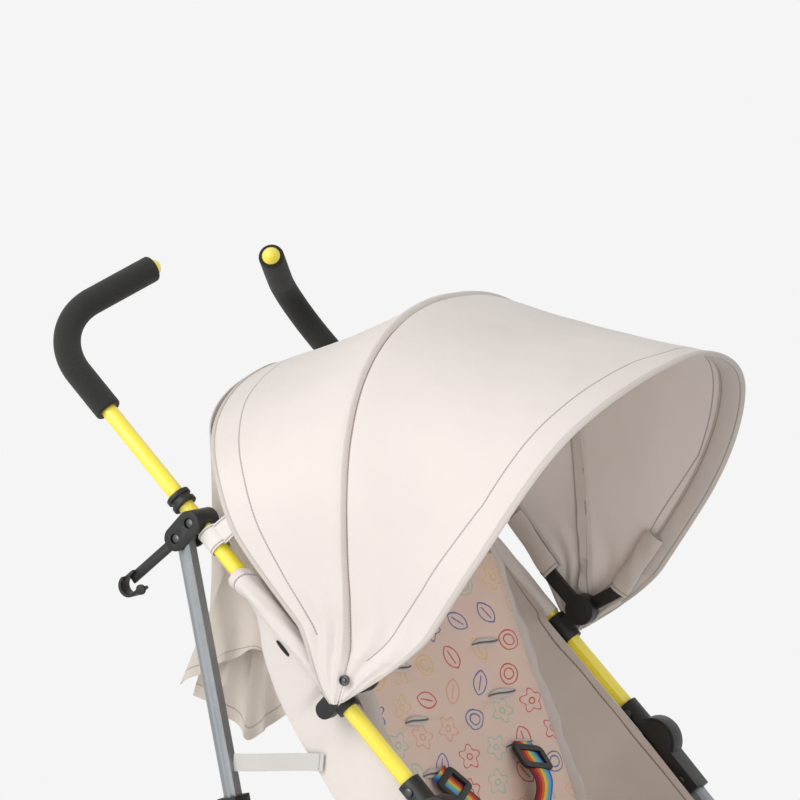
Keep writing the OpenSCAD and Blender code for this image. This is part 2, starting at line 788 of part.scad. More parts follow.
module transport_hook() {
  x0 = -hub_slot + fit_gap;
  x1 = x0 + hook_thick;
  color("black") translate([-half, 0, 0]) translate(hinge) rotate([-hook_slope, 0, 0]) difference() {
    union() {
      x_rod(hook_width, x0, x1);
      block([x0, 0, -hook_width / 2], [x1, hook_len, hook_width / 2]);
      translate([0, hook_len, hook_width / 2 - hook_radius]) difference() {
        x_rod(2 * hook_radius, x0 - hook_depth, x1);
        x_rod(2 * hook_radius - 2 * hook_thick, x0 - hook_depth - cut, x1 + cut);
        block([x0 - 2 * hook_depth, -2 * hook_radius, -2 * hook_radius], [hub_slot, 0, 2 * hook_radius]);
      }
      translate([0, hook_len, hook_width / 2 - 2 * hook_radius])
        block([x0 - hook_depth, -hook_width, 0], [x1, 0, hook_thick]);
      translate([0, hook_len - hook_width, hook_width / 2 - 2 * hook_radius])
        x_rod(hook_width, x0 - hook_depth, x0 - hook_depth + hook_thick);
      block([x0 - hook_depth / 2, hook_len - hook_width, hook_width / 2 - hook_thick],
        [x1, hook_len, hook_width / 2]);
    }
    x_rod(rivet_d + 2 * fit_gap, -hub_out, hub_out);
  }
}

module hood_clip() {
  color("black") on_tube(clip_axis_at) difference() {
    union() {
      translate([0, 0, -clamp_len / 2]) cylinder(d = clamp_d, h = clamp_len);
      translate([0, clamp_fin, 0]) x_rod(2 * clamp_fin_r, -clamp_d / 2, 0);
      block([-clamp_d / 2, 0, -clamp_fin_r], [0, clamp_fin, clamp_fin_r]);
      block([0, -clip_axis_out, -clip_disc_r / 2], [clip_disc_in, 0, clip_disc_r / 2]);
      translate([0, -clip_axis_out, 0]) {
        x_rod(2 * clip_disc_r, fit_gap, clip_disc_in);
        x_rod(clip_disc_r, fit_gap, clip_disc_in + ring_step);
        x_rod(clip_pin_d, -arm_thick - ring_step, cut);
        x_rod(2 * clip_pin_d, -arm_thick - 3 * ring_step, -arm_thick - ring_step);
        block([ring_step, -arm_width / 2, 0], [ring_step + arm_thick, arm_width / 2, rear_arm_len]);
        translate([0, 0, arm_rivet_at]) x_rod(eyelet_d, cut, ring_step + arm_thick + eyelet_h);
      }
    }
    translate([0, 0, -clamp_len]) cylinder(d = tube_d + 2 * fit_gap, h = 2 * clamp_len);
  }
}

module hood_arm() {
  outer = -arm_thick;
  color("black") on_tube(clip_axis_at) translate([0, -clip_axis_out, 0]) rotate([front_arm_turn, 0, 0])
    difference() {
      union() {
        x_rod(2 * clip_disc_r, outer, -fit_gap);
        block([outer, -arm_width / 2, 0], [-fit_gap, arm_width / 2, front_arm_len]);
        translate([0, 0, arm_rivet_at]) x_rod(eyelet_d, outer, eyelet_h);
      }
      x_rod(clip_pin_d + 2 * fit_gap, outer - cut, cut);
    }
}

// Unit normal of a grid of points at one place
function grid_n(g, i, j) =
  let (r = len(g) - 1, c = len(g[0]) - 1,
    a = g[min(i + 1, r)][j] - g[max(i - 1, 0)][j],
    b = g[i][min(j + 1, c)] - g[i][max(j - 1, 0)],
    n = cross(a, b)) n / norm(n);
function level(o, i, j) = is_list(o) ? o[i][j] : o;

// A closed solid between two offsets of a grid of points, the first one on the normal's side
module sheet(g, above, below, normals = []) {
  r = len(g);
  c = len(g[0]);
  m = r * c;
  own = len(normals) > 0 ? normals : [for (i = [0:r - 1]) [for (j = [0:c - 1]) grid_n(g, i, j)]];
  top = [for (i = [0:r - 1], j = [0:c - 1]) g[i][j] + level(above, i, j) * own[i][j]];
  bot = [for (i = [0:r - 1], j = [0:c - 1]) g[i][j] + level(below, i, j) * own[i][j]];
  over = [for (i = [0:r - 2], j = [0:c - 2]) each
    [[i * c + j, i * c + j + 1, (i + 1) * c + j + 1], [i * c + j, (i + 1) * c + j + 1, (i + 1) * c + j]]];
  under = [for (f = over) [f[0] + m, f[2] + m, f[1] + m]];
  e = (r - 1) * c;
  ends = [for (j = [0:c - 2]) each
    [[j + 1, j, m + j], [j + 1, m + j, m + j + 1],
      [e + j, e + j + 1, m + e + j], [e + j + 1, m + e + j + 1, m + e + j]]];
  sides = [for (i = [0:r - 2]) let (p = i * c, q = p + c, z = c - 1) each
    [[p, q, m + q], [p, m + q, m + p],
      [q + z, p + z, m + p + z], [q + z, m + p + z, m + q + z]]];
  polyhedron(points = concat(top, bot), faces = concat(over, under, ends, sides), convexity = 6);
}

// Superellipse exponents of the three hood edges: across and upward
hood_across_shares = [1.39, 0.873, 1.25];
hood_upward_shares = [0.465, 0.485, 0.423];
// Feet of the three edges, as shares of the clip disc radius from the clip axis
hood_foot_shares = [[0.5, -0.08], [0.2, -0.66], [-1.9, -1.13]];
hood_angles = [hood_rear_angle, hood_mid_angle, hood_front_angle];
hood_reaches = [hood_rear_reach, hood_mid_reach, hood_front_reach];
hood_halves = [hood_rear_half, hood_mid_half, hood_front_half];

// A point of hood edge k; u runs from the right foot to the left foot
function hood_edge(k, u) =
  let (w = 1 - abs(2 * u - 1), a = 90 * w * w, co = cos(a), si = sin(a),
    x = hood_halves[k] * pow(co, hood_across_shares[k])
      - (hood_halves[k] - hood_foot_half) * pow(1 - si, 4),
    h = hood_reaches[k] * pow(si, hood_upward_shares[k]))
  [u < 0.5 ? -x : x,
    clip_axis[1] + hood_foot_shares[k][0] * clip_disc_r + h * cos(hood_angles[k]),
    clip_axis[2] + hood_foot_shares[k][1] * clip_disc_r + h * sin(hood_angles[k])];
function hood_at(v, u) = v <= 0.5
  ? hood_edge(0, u) * (1 - 2 * v) + hood_edge(1, u) * 2 * v
  : hood_edge(1, u) * (2 - 2 * v) + hood_edge(2, u) * (2 * v - 1);
hood_steps = 28;
hood_foot_share = 0.02;
function hood_u(j) = hood_foot_share + (1 - 2 * hood_foot_share) * j / hood_steps;
function hood_grid(rows) = [for (v = rows) [for (j = [0:hood_steps]) hood_at(v, hood_u(j))]];

// Unit normal of the hood, the same for every piece that lies along it
hood_probe_share = 0.005;
function hood_n(v, u) =
  let (a = hood_at(v + hood_probe_share, u) - hood_at(v - hood_probe_share, u),
    b = hood_at(v, u + hood_probe_share) - hood_at(v, u - hood_probe_share),
    n = cross(a, b)) n / norm(n);
function hood_normals(rows) = [for (v = rows) [for (j = [0:hood_steps]) hood_n(v, hood_u(j))]];

// Rows of the three gores; each bow lies under one span between two rows
gore_gap_share = 0.0006;
rear_shares = [0, 0.06, 0.15, 0.24, 1 / 3 - gore_gap_share];
mid_shares = [1 / 3 + gore_gap_share, 0.4, 0.47, 0.53, 0.6, 2 / 3 - gore_gap_share];
front_shares = [2 / 3 + gore_gap_share, 0.76, 0.85, 0.94, 1];
rear_bow_shares = [0, 0.06];
mid_bow_shares = [0.47, 0.53];
front_bow_shares = [0.94, 1];
rear_foot = hood_foot_half - half + ring_step - fit_gap;
front_foot = hood_foot_half - half - arm_thick - fit_gap;

module hood_gore(rows) {
  color("linen") sheet(hood_grid(rows), 0, -cloth_t, hood_normals(rows));
}

// Depth of a bow at one place, its feet reaching in to the hood arms
function bow_depth(j, foot) = j < 2 || j > hood_steps - 2 ? foot : cloth_t + bow_t;

module hood_bow(rows, foot) {
  under = [for (i = [0, 1]) [for (j = [0:hood_steps]) -bow_depth(j, foot)]];
  color("gray") sheet(hood_grid(rows), -cloth_t - 2 * fit_gap, under, hood_normals(rows));
}

// Centre line of the seat at a distance from the top of its back
seat_corner = [0, seat_back_at, seat_height];
back_top = seat_corner + back_len * [0, sin(back_recline), cos(back_recline)];
base_front = seat_corner + base_len * [0, -cos(base_rise), sin(base_rise)];
function seat_line(d) = d <= back_len
  ? back_top + d * [0, -sin(back_recline), -cos(back_recline)]
  : d <= back_len + base_len
    ? seat_corner + (d - back_len) * [0, -cos(base_rise), sin(base_rise)]
    : base_front + (d - back_len - base_len) * [0, -cos(apron_drop), -sin(apron_drop)];
function hem_line(d) = d <= hem_top - knuckle_at
  ? along(hem_top - d, 0)
  : front_line(d - hem_top + knuckle_at);
back_rows = 7;
base_rows = 4;
apron_rows = 2;
hem_rows = back_rows + base_rows;
seat_rows = hem_rows + apron_rows;
function row_d(i) = i <= back_rows
  ? back_len * i / back_rows
  : i <= hem_rows
    ? back_len + base_len * (i - back_rows) / base_rows
    : back_len + base_len + apron_len * (i - hem_rows) / apron_rows;
panel_share = 0.72;
function hem_x(i) = hem_top - hem_len * i / hem_rows > sleeve_from ? half - tube_d / 2 - seat_t / 2 : hem_half;

// A point of the seat cloth in row i at a share t of the half width
function seat_at(i, t) =
  let (m = abs(t), s = sign(t), c = seat_line(row_d(i)),
    f = [0, -cos(back_recline), sin(back_recline)],
    curl = i > hem_rows ? 0 : panel_curl,
    edge = c + [s * seat_half, 0, 0] + curl * f,
    hem = i > hem_rows ? edge : hem_line(hem_len * i / hem_rows) + [s * hem_x(i), 0, 0],
    p = min(m / panel_share, 1), w = max(0, (m - panel_share) / (1 - panel_share)))
  w > 0 ? edge + w * (hem - edge) + (i > hem_rows ? [s * w * cut, 0, 0] : [0, panel_curl * sin(180 * w), 0])
    : c + [s * p * seat_half, 0, 0] + curl * p * p * f;
seat_cols = 14;
seat_grid = [for (i = [0:seat_rows]) [for (j = [0:seat_cols]) seat_at(i, 2 * j / seat_cols - 1)]];

// The outer side of the seat: from the tube to a rear edge drawn back by the side strap, and in to the panel
ear_rows = 8;
ear_full_share = 0.72;
ear_cols = 6;
function ear_s(t) = sleeve_to + (ear_end - sleeve_to) * t;
function ear_back(t) = ear_top + (ear_low - ear_top) * min(1, t / ear_full_share);
function ear_rear(t) = along(ear_s(t), -ear_back(t)) - [ear_half, 0, 0];
function ear_front(t) = along(ear_s(t), 0) - [ear_s(t) > sleeve_from ? half - tube_d / 2 - seat_t / 2 : hem_half, 0, 0];
function ear_panel(t) = let (z = ear_rear(t)[2], d = min(max((back_top[2] - z) / cos(back_recline), 0), back_len))
  seat_line(d) - [seat_half, 0, 0] + seat_t * [0, cos(back_recline), -sin(back_recline)];
function ear_at(t, q) = q < 0.5
  ? ear_front(t) * (1 - 2 * q) + ear_rear(t) * 2 * q
  : ear_rear(t) * (2 - 2 * q) + ear_panel(t) * (2 * q - 1);
ear_grid = [for (i = [0:ear_rows]) [for (j = [0:ear_cols]) ear_at(i / ear_rows, j / ear_cols)]];

module seat_sling() {
  color("rosybrown") {
    sheet(seat_grid, seat_t / 2, -seat_t / 2);
    for (m = [0, 1]) mirror([m, 0, 0]) sheet(ear_grid, seat_t / 2, -seat_t / 2);
    for (m = [0, 1]) mirror([m, 0, 0]) on_tube(sleeve_from) difference() {
      cylinder(d = sleeve_d, h = sleeve_to - sleeve_from);
      translate([0, 0, -cut]) cylinder(d = tube_d + 2 * fit_gap, h = sleeve_to - sleeve_from + 2 * cut);
    }
  }
}

pad_cols = 12;
pad_rows = 20;
pad_margin_share = 0.94;
pad_inset_share = 0.02;
pad_reach = back_len + base_len;
channel_count = 4;
function pad_row(i) = pad_reach * (pad_inset_share + (1 - 2 * pad_inset_share) * i / pad_rows);
function seat_face(d) = d < back_len ? [0, -cos(back_recline), sin(back_recline)] : [0, sin(base_rise), cos(base_rise)];
function pad_at(i, j) = let (t = pad_margin_share * (2 * j / pad_cols - 1), d = pad_row(i))
  seat_line(d) + [t * seat_half, 0, 0] + panel_curl * t * t * seat_face(0) + (seat_t / 2 + 2 * fit_gap) * seat_face(d);
pad_grid = [for (i = [0:pad_rows]) [for (j = [0:pad_cols]) pad_at(i, j)]];
function pad_rise(i, j) = let (t = abs(2 * j / pad_cols - 1), e = i == 0 || i == pad_rows ? 0 : 1,
    q = abs(cos(180 * channel_count * i / pad_rows)))
  pad_edge + e * max(0, pad_crown * (1 - pow(t, 4)) - pad_edge - pad_channel * pow(q, 6));
pad_tops = [for (i = [0:pad_rows]) [for (j = [0:pad_cols]) pad_rise(i, j)]];

module seat_pad() {
  color("tan") sheet(pad_grid, pad_tops, 0);
}

// A strap over the seat through a row of stops, each given as distance down the seat and side offset
module seat_web(stops) {
  sheet([for (p = stops) [for (s = [-1, 1])
    seat_line(p[0]) + web_lift * seat_face(p[0]) + [p[1] + s * web_w / 2, 0, 0]]], web_t / 2, -web_t / 2);
}

buckle_share = 0.42;
crotch_share = 0.86;
glide_share = 0.8;
buckle_d = back_len + base_len * buckle_share;
end_share = 0.45;
shoulder_end = buckle_d - buckle_len / 2 - web_t * end_share;
web_in = web_w / 2 + web_t;

// Both ends of a shoulder strap, which hangs free between its slot and the buckle
web_top = seat_line(slot_at) + web_lift * seat_face(slot_at);
web_low = seat_line(shoulder_end) + web_lift * seat_face(shoulder_end);
web_run = web_top - web_low;
web_slant = (slot_half - web_in) / norm(web_run);

module harness() {
  color("crimson") for (s = [-1, 1])
    seat_web([[slot_at, s * slot_half], [shoulder_end, s * web_in]]);
  color("crimson") seat_web([[buckle_d + buckle_len / 2 + fit_gap, 0], [back_len + base_len * crotch_share, 0]]);
}

module harness_buckle() {
  wing = buckle_len / 6;
  color("black") translate(seat_line(buckle_d)) rotate([-base_rise, 0, 0])
    translate([0, 0, web_lift + (buckle_t - web_t) / 2]) {
      block([-buckle_w / 2, -buckle_len / 2, -buckle_t / 2], [buckle_w / 2, buckle_len / 2, buckle_t / 2]);
      block([-buckle_w / 2 - web_t, -wing, -buckle_t / 4], [buckle_w / 2 + web_t, wing, buckle_t / 4]);
    }
}

module harness_sliders() {
  run = glide_len * glide_share;
  slot = web_w / 2 + fit_gap;
  color("black") for (s = [-1, 1])
    translate(web_top - run / norm(web_run) * web_run + [s * (slot_half - run * web_slant), 0, 0])
      rotate([atan2(web_run[2], web_run[1]), 0, 0]) rotate([0, 0, -s * atan(web_slant)]) difference() {
        block([-glide_w / 2, -glide_len / 2, -web_t / 2 - fit_gap], [glide_w / 2, glide_len / 2, glide_t]);
        block([-slot, -glide_len, -glide_t], [slot, glide_len, web_t / 2 + fit_gap]);
      }
}

// The curtain: a back panel and two side flaps, from the hood's rear foot down
curtain_cols = 36;
curtain_rows = 6;
flap_share = 0.62;
arch_share = 0.28;
tie_share = 0.6;
flap_run_share = 0.66;
tie_back_share = 3.2;
flap_swell_share = 0.12;
flap_rise_share = 0.06;
bulge_share = 1.2;
fold_count = 5;
fold_phase = 40;
rim_clear = (cloth_t / 2 + 2 * fit_gap) * [0, sin(hood_rear_angle), -cos(hood_rear_angle)];
hub_y = along(hub_at, 0)[1];
hub_z = along(hub_at, 0)[2];
function curtain_at(q, r) =
  let (m = abs(q), s = sign(q), w = max(0, (m - flap_share) / (1 - flap_share)), p = min(1, m / flap_share),
    arch = hood_edge(0, 0.5 + s * p * arch_share) + rim_clear,
    foot = hood_edge(0, 0.5 + s * arch_share) + rim_clear,
    top = w > 0
      ? [s * curtain_half, foot[1], foot[2]] + w * (along(sleeve_to * tie_share, -tube_d * tie_back_share) - [0, foot[1], foot[2]])
      : [arch[0] * (1 - p * p) + s * p * p * curtain_half, arch[1], arch[2]],
    low = w > 0
      ? [s * (curtain_half + cut), hub_y + curtain_back - curtain_drop * flap_run_share * w,
        hub_z - curtain_drop * (1 + flap_swell_share * sin(180 * w) - flap_rise_share * w)]
      : [s * p * curtain_half, hub_y + curtain_back * (1 + bulge_share * (1 - p * p)), hub_z - curtain_drop],
    fold = curtain_fold * r * sin(360 * fold_count * m + fold_phase))
  top + r * (low - top) + [w > 0 ? -s * abs(fold) : 0, w > 0 ? 0 : fold, 0];
curtain_grid = [for (i = [0:curtain_rows]) [for (j = [0:curtain_cols])
  curtain_at(2 * j / curtain_cols - 1, i / curtain_rows)]];

module hood_curtain() {
  color("linen") sheet(curtain_grid, cloth_t / 2, -cloth_t / 2);
}

module basket_plan(grow) {
  a = basket_half - grow - basket_r;
  b = (basket_rear - basket_front) / 2 - grow - basket_r;
  for (x = [-a, a], y = [-b, b]) translate([x, y]) circle(r = basket_r, $fn = 24);
  square([2 * a, 2 * b + 2 * basket_r], center = true);
  square([2 * a + 2 * basket_r, 2 * b], center = true);
}

module basket() {
  middle = (basket_rear + basket_front) / 2;
  low = basket_top - basket_band;
  front = front_line((knee[2] - basket_top) / sf)[1];
  rear = hinge[1] - (hinge[2] - basket_top) * sl / cl;
  side = half - leg_x / 2 - fit_gap;
  color("rosybrown") {
    translate([0, middle, basket_top]) mirror([0, 0, 1]) difference() {
      linear_extrude(basket_depth, scale = basket_share) basket_plan(0);
      translate([0, 0, -cut]) linear_extrude(basket_depth - basket_t + cut, scale = basket_share)
        basket_plan(basket_t);
    }
    for (m = [0, 1]) mirror([m, 0, 0]) block([side - basket_t, front, low], [side, rear, basket_top]);
  }
}

band_cols = 10;
function band_at_x(t, s) = front_line(band_at + s * band_w / 2)
  + [t * (half - leg_x / 2 - 4 * fit_gap), band_sag * (1 - t * t) - leg_y / 4, 0];
band_grid = [for (i = [-1, 1]) [for (j = [0:band_cols]) band_at_x(2 * j / band_cols - 1, i)]];

module footrest_band() {
  color("rosybrown") sheet(band_grid, seat_t / 2, -seat_t / 2);
}

strap_share = 0.59;

module seat_strap() {
  edge = ear_rear(strap_share);
  from = [-ear_half - seat_t - web_t / 2 + 2 * fit_gap, edge[1] - side_strap_w / 2, edge[2]];
  leg_at = hinge[1] - (hinge[2] - from[2]) * sl / cl - leg_y / 2 / cl;
  to = [-half, leg_at - web_t / 6, from[2]];
  up = [0, 0, side_strap_w / 2];
  lean = side_strap_w / 2 * [0, sl, cl];
  color("gray") sheet([[from - up, from + up], [to - lean, to + lean]], web_t / 2, -web_t / 2);
}

push_tube();  // push_tube_right
other_side() push_tube();  // push_tube_left
grip();  // grip_right
other_side() grip();  // grip_left
grip_cap();  // grip_cap_right
other_side() grip_cap();  // grip_cap_left
tube_collar();  // tube_collar_right
other_side() tube_collar();  // tube_collar_left
upper_hub();  // upper_hub_right
other_side() upper_hub();  // upper_hub_left
frame_rivets();  // frame_rivets_right
other_side() frame_rivets();  // frame_rivets_left
knuckle();  // knuckle_right
other_side() knuckle();  // knuckle_left
front_leg();  // front_leg_right
other_side() front_leg();  // front_leg_left
caster_socket();  // caster_socket_right
other_side() caster_socket();  // caster_socket_left
caster_fork();  // caster_fork_right
other_side() caster_fork();  // caster_fork_left
caster_pins();  // caster_pins_right
other_side() caster_pins();  // caster_pins_left
wheel_pair(front_axle);  // front_wheels_right
other_side() wheel_pair(front_axle);  // front_wheels_left
rear_leg();  // rear_leg_right
other_side() rear_leg();  // rear_leg_left
rear_housing();  // rear_housing_right
other_side() rear_housing();  // rear_housing_left
rear_pins(bar_back);  // rear_pins_right
other_side() rear_pins(bar_b_back);  // rear_pins_left
wheel_pair(rear_axle);  // rear_wheels_right
other_side() wheel_pair(rear_axle);  // rear_wheels_left
brake_pedal();  // brake_pedal_right
other_side() brake_pedal();  // brake_pedal_left
brace_bar_a();
brace_bar_b();
brace_rivet();
leg_slider(bar_b_back);  // leg_slider_right
other_side() leg_slider(bar_back);  // leg_slider_left
transport_hook();
hood_clip();  // hood_clip_right
other_side() hood_clip();  // hood_clip_left
hood_arm();  // hood_arm_right
other_side() hood_arm();  // hood_arm_left
hood_bow(rear_bow_shares, rear_foot);  // hood_rear_bow
hood_bow(mid_bow_shares, cloth_t + bow_t);  // hood_mid_bow
hood_bow(front_bow_shares, front_foot);  // hood_front_bow
hood_gore(rear_shares);  // hood_rear_gore
hood_gore(mid_shares);  // hood_mid_gore
hood_gore(front_shares);  // hood_front_gore
hood_curtain();
seat_pad();
seat_sling();
seat_strap();  // seat_strap_right
other_side() seat_strap();  // seat_strap_left
harness();
harness_buckle();
harness_sliders();
basket();
footrest_band();
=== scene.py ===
"""Umbrella stroller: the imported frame, dressed in cloth, webbing, foam, paint and moulded plastic."""

from __future__ import annotations

import json
import logging
import math
from dataclasses import dataclass, field
from enum import Enum
from functools import cached_property, partialmethod
from typing import Any, Optional, Sequence, Union

import bpy
import numpy as np
from bpy.types import Material, Node, NodeSocket as Socket, NodeTree, Object
from mathutils import Matrix, Vector, noise

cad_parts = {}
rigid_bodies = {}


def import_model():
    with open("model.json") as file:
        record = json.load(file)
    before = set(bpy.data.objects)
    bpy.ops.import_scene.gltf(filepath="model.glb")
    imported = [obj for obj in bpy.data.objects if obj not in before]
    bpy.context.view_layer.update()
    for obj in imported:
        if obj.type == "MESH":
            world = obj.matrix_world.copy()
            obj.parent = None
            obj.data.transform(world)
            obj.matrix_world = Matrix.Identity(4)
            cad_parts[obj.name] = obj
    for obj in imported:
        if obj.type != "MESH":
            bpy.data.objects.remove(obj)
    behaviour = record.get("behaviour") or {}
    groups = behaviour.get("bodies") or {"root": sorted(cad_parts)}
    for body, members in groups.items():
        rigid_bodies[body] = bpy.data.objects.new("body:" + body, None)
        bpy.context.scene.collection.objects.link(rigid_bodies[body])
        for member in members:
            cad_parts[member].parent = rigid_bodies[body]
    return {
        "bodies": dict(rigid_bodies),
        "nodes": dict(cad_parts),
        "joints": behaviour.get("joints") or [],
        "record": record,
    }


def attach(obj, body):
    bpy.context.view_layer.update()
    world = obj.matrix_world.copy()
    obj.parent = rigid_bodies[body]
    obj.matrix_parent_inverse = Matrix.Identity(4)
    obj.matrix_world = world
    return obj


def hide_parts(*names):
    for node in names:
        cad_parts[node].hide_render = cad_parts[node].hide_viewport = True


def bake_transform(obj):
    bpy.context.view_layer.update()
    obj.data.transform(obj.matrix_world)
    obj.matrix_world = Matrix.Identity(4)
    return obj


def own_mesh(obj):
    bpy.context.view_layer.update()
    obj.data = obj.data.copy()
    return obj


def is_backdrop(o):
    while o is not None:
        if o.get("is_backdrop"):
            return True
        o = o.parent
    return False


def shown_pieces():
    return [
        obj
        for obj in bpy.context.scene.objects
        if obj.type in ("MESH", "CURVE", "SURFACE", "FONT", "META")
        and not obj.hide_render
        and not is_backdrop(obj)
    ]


LOG = logging.getLogger("stroller")
MM = 0.001
TURN = 2 * math.pi
TINY = 1e-9
YARN = 0.75  # the weave's repeat, in millimetres
NO_HEM = 999.0  # a distance from the hem at which no stitch is drawn
Colour = tuple[float, float, float, float]
Pair = tuple[float, float]
Triple = tuple[float, float, float]
Points = np.ndarray
Table = tuple[tuple[float, ...], tuple[float, ...]]
Number = Union["Val", float]
Dressing = Union["Finish", Material]


def display(red: int, green: int, blue: int) -> Colour:
    """Gives the linear colour of a display colour.

    Args:
        red: red from 0 to 255.
        green: green from 0 to 255.
        blue: blue from 0 to 255.

    Returns:
        The linear colour with full opacity.
    """
    def linear(c: int) -> float:
        """One channel made linear."""
        s = c / 255
        return s / 12.92 if s <= 0.04045 else ((s + 0.055) / 1.055) ** 2.4

    return (linear(red), linear(green), linear(blue), 1.0)


def shade(colour: Colour, factor: float) -> Colour:
    """Gives a colour made lighter or darker by a factor."""
    return (*(min(part * factor, 1) for part in colour[:3]), 1.0)


def ease(low: float, high: float, x: Points) -> Points:
    """Gives the smooth step of x between two values."""
    t = np.clip((x - low) / (high - low), 0, 1)
    return t * t * (3 - 2 * t)


def bell(x: Points, middle: float, width: float) -> Points:
    """Gives a bell curve of height 1 over x."""
    return np.exp(-((x - middle) / width) ** 2)


def grid(rows: Points, columns: Points) -> Sequence[Points]:
    """Gives a grid's row values and its column values, each as a table."""
    return np.meshgrid(rows, columns, indexing="ij")


def sideways(x: Points) -> Points:
    """Gives vectors along X of the lengths x."""
    x = np.asarray(x, float)
    return np.stack([x, np.zeros_like(x), np.zeros_like(x)], -1)


def unit(vectors: Points) -> Points:
    """Gives vectors brought to unit length."""
    return vectors / np.maximum(np.linalg.norm(vectors, axis=-1, keepdims=True), TINY)


def outward(points: Points) -> Points:
    """Gives the unit normals of a grid of points."""
    return unit(np.cross(np.gradient(points, axis=0), np.gradient(points, axis=1)))


def run_along(points: Points, axis: int) -> Points:
    """Gives the distance of each grid point from the grid's first edge.

    Args:
        points: rows and columns of points.
        axis: 0 to measure over the rows, 1 over the columns.

    Returns:
        The distances, one for each point.
    """
    steps = np.cumsum(np.linalg.norm(np.diff(points, axis=axis), axis=2), axis=axis)
    return np.pad(steps, ((1, 0), (0, 0)) if axis == 0 else ((0, 0), (1, 0)))


def ripple(points: Points, *waves: Pair) -> Points:
    """Gives the height of uneven cloth.

    Args:
        points: points in any layout, in millimetres.
        waves: the scale and the height of each wave.

    Returns:
        The heights in the same layout, in millimetres.
    """
    heights = [sum(noise.noise(Vector(p) * scale) * height for scale, height in waves) for p in points.reshape(-1, 3)]
    return np.array(heights).reshape(points.shape[:-1])


class Side(Enum):
    """The two sides of the stroller, by the sign of X."""

    RIGHT = -1
    LEFT = 1

    @property
    def word(self) -> str:
        """The side's word in node and body names."""
        return self.name.lower()


class Cover(Enum):
    """A cover's half width in metres, and the share of its width left when the frame is folded."""

    HOOD = (0.240, 0.6306)
    SEAT = (0.204, 0.5645)


class Val:
    """A number inside a node graph, which takes part in sums."""

    def __init__(self, graph: Nodes, socket: Socket) -> None:
        """Keeps the graph and the socket that carries the number."""
        self.graph = graph
        self.socket = socket

    def op(self, kind: str, *others: Number) -> Val:
        """Applies a math node to this number and others."""
        return self.graph.math(kind, self, *others)

    __add__ = partialmethod(op, "ADD")
    __sub__ = partialmethod(op, "SUBTRACT")
    __mul__ = partialmethod(op, "MULTIPLY")
    __truediv__ = partialmethod(op, "DIVIDE")
    __abs__ = partialmethod(op, "ABSOLUTE")

    def __rsub__(self, other: float) -> Val:
        """A plain number less this one."""
        return self.graph.math("SUBTRACT", other, self)

    def wave(self, period: float) -> Val:
        """The sine wave of a period over this number."""
        return (self * (TURN / period)).op("SINE")

    def smooth(self, low: float, high: float) -> Val:
        """Takes the smooth step between two values.

        Args:
            low: where the step is 0.
            high: where the step is 1.

        Returns:
            The step.
        """
        node = self.graph.node("ShaderNodeMapRange", interpolation_type="SMOOTHSTEP")
        self.graph.put(node.inputs["Value"], self)
        node.inputs["From Min"].default_value = low
        node.inputs["From Max"].default_value = high
        return Val(self.graph, node.outputs["Result"])


class Nodes:
    """A node graph and the steps that build it."""

    def __init__(self, tree: NodeTree) -> None:
        """Starts with the graph emptied."""
        self.tree = tree
        self.tree.nodes.clear()

    def node(self, kind: str, **settings: Any) -> Node:
        """Adds a node.

        Args:
            kind: the node's type.
            settings: properties to set on it.

        Returns:
            The node.
        """
        made = self.tree.nodes.new(kind)
        for key, value in settings.items():
            setattr(made, key, value)
        return made

    def put(self, socket: Socket, value: Any) -> None:
        """Links a value to a socket, or sets it there.

        Args:
            socket: the input socket.
            value: a number, another socket, or a plain value.
        """
        if isinstance(value, Val):
            self.tree.links.new(value.socket, socket)
        elif isinstance(value, Socket):
            self.tree.links.new(value, socket)
        else:
            socket.default_value = value

    def math(self, kind: str, *values: Number) -> Val:
        """Adds a math node.

        Args:
            kind: the operation.
            values: one to three values.

        Returns:
            The result.
        """
        made = self.node("ShaderNodeMath", operation=kind)
        for socket, value in zip(made.inputs, values):
            self.put(socket, value)
        return Val(self, made.outputs[0])

    def parts(self, vector: Socket) -> tuple[Val, Val, Val]:
        """Splits a vector.

        Args:
            vector: the vector's socket.

        Returns:
            Its three numbers.
        """
        made = self.node("ShaderNodeSeparateXYZ")
        self.put(made.inputs[0], vector)
        return Val(self, made.outputs[0]), Val(self, made.outputs[1]), Val(self, made.outputs[2])

    def seen(self) -> Val:
        """Tells the rays that show a surface from those that only light it.

        Returns:
            1 for camera, glossy and transmission rays, 0 for the others.
        """
        path = self.node("ShaderNodeLightPath")
        rays = [Val(self, path.outputs[f"Is {kind} Ray"]) for kind in ("Camera", "Glossy", "Transmission")]
        return rays[0].op("MAXIMUM", rays[1]).op("MAXIMUM", rays[2])


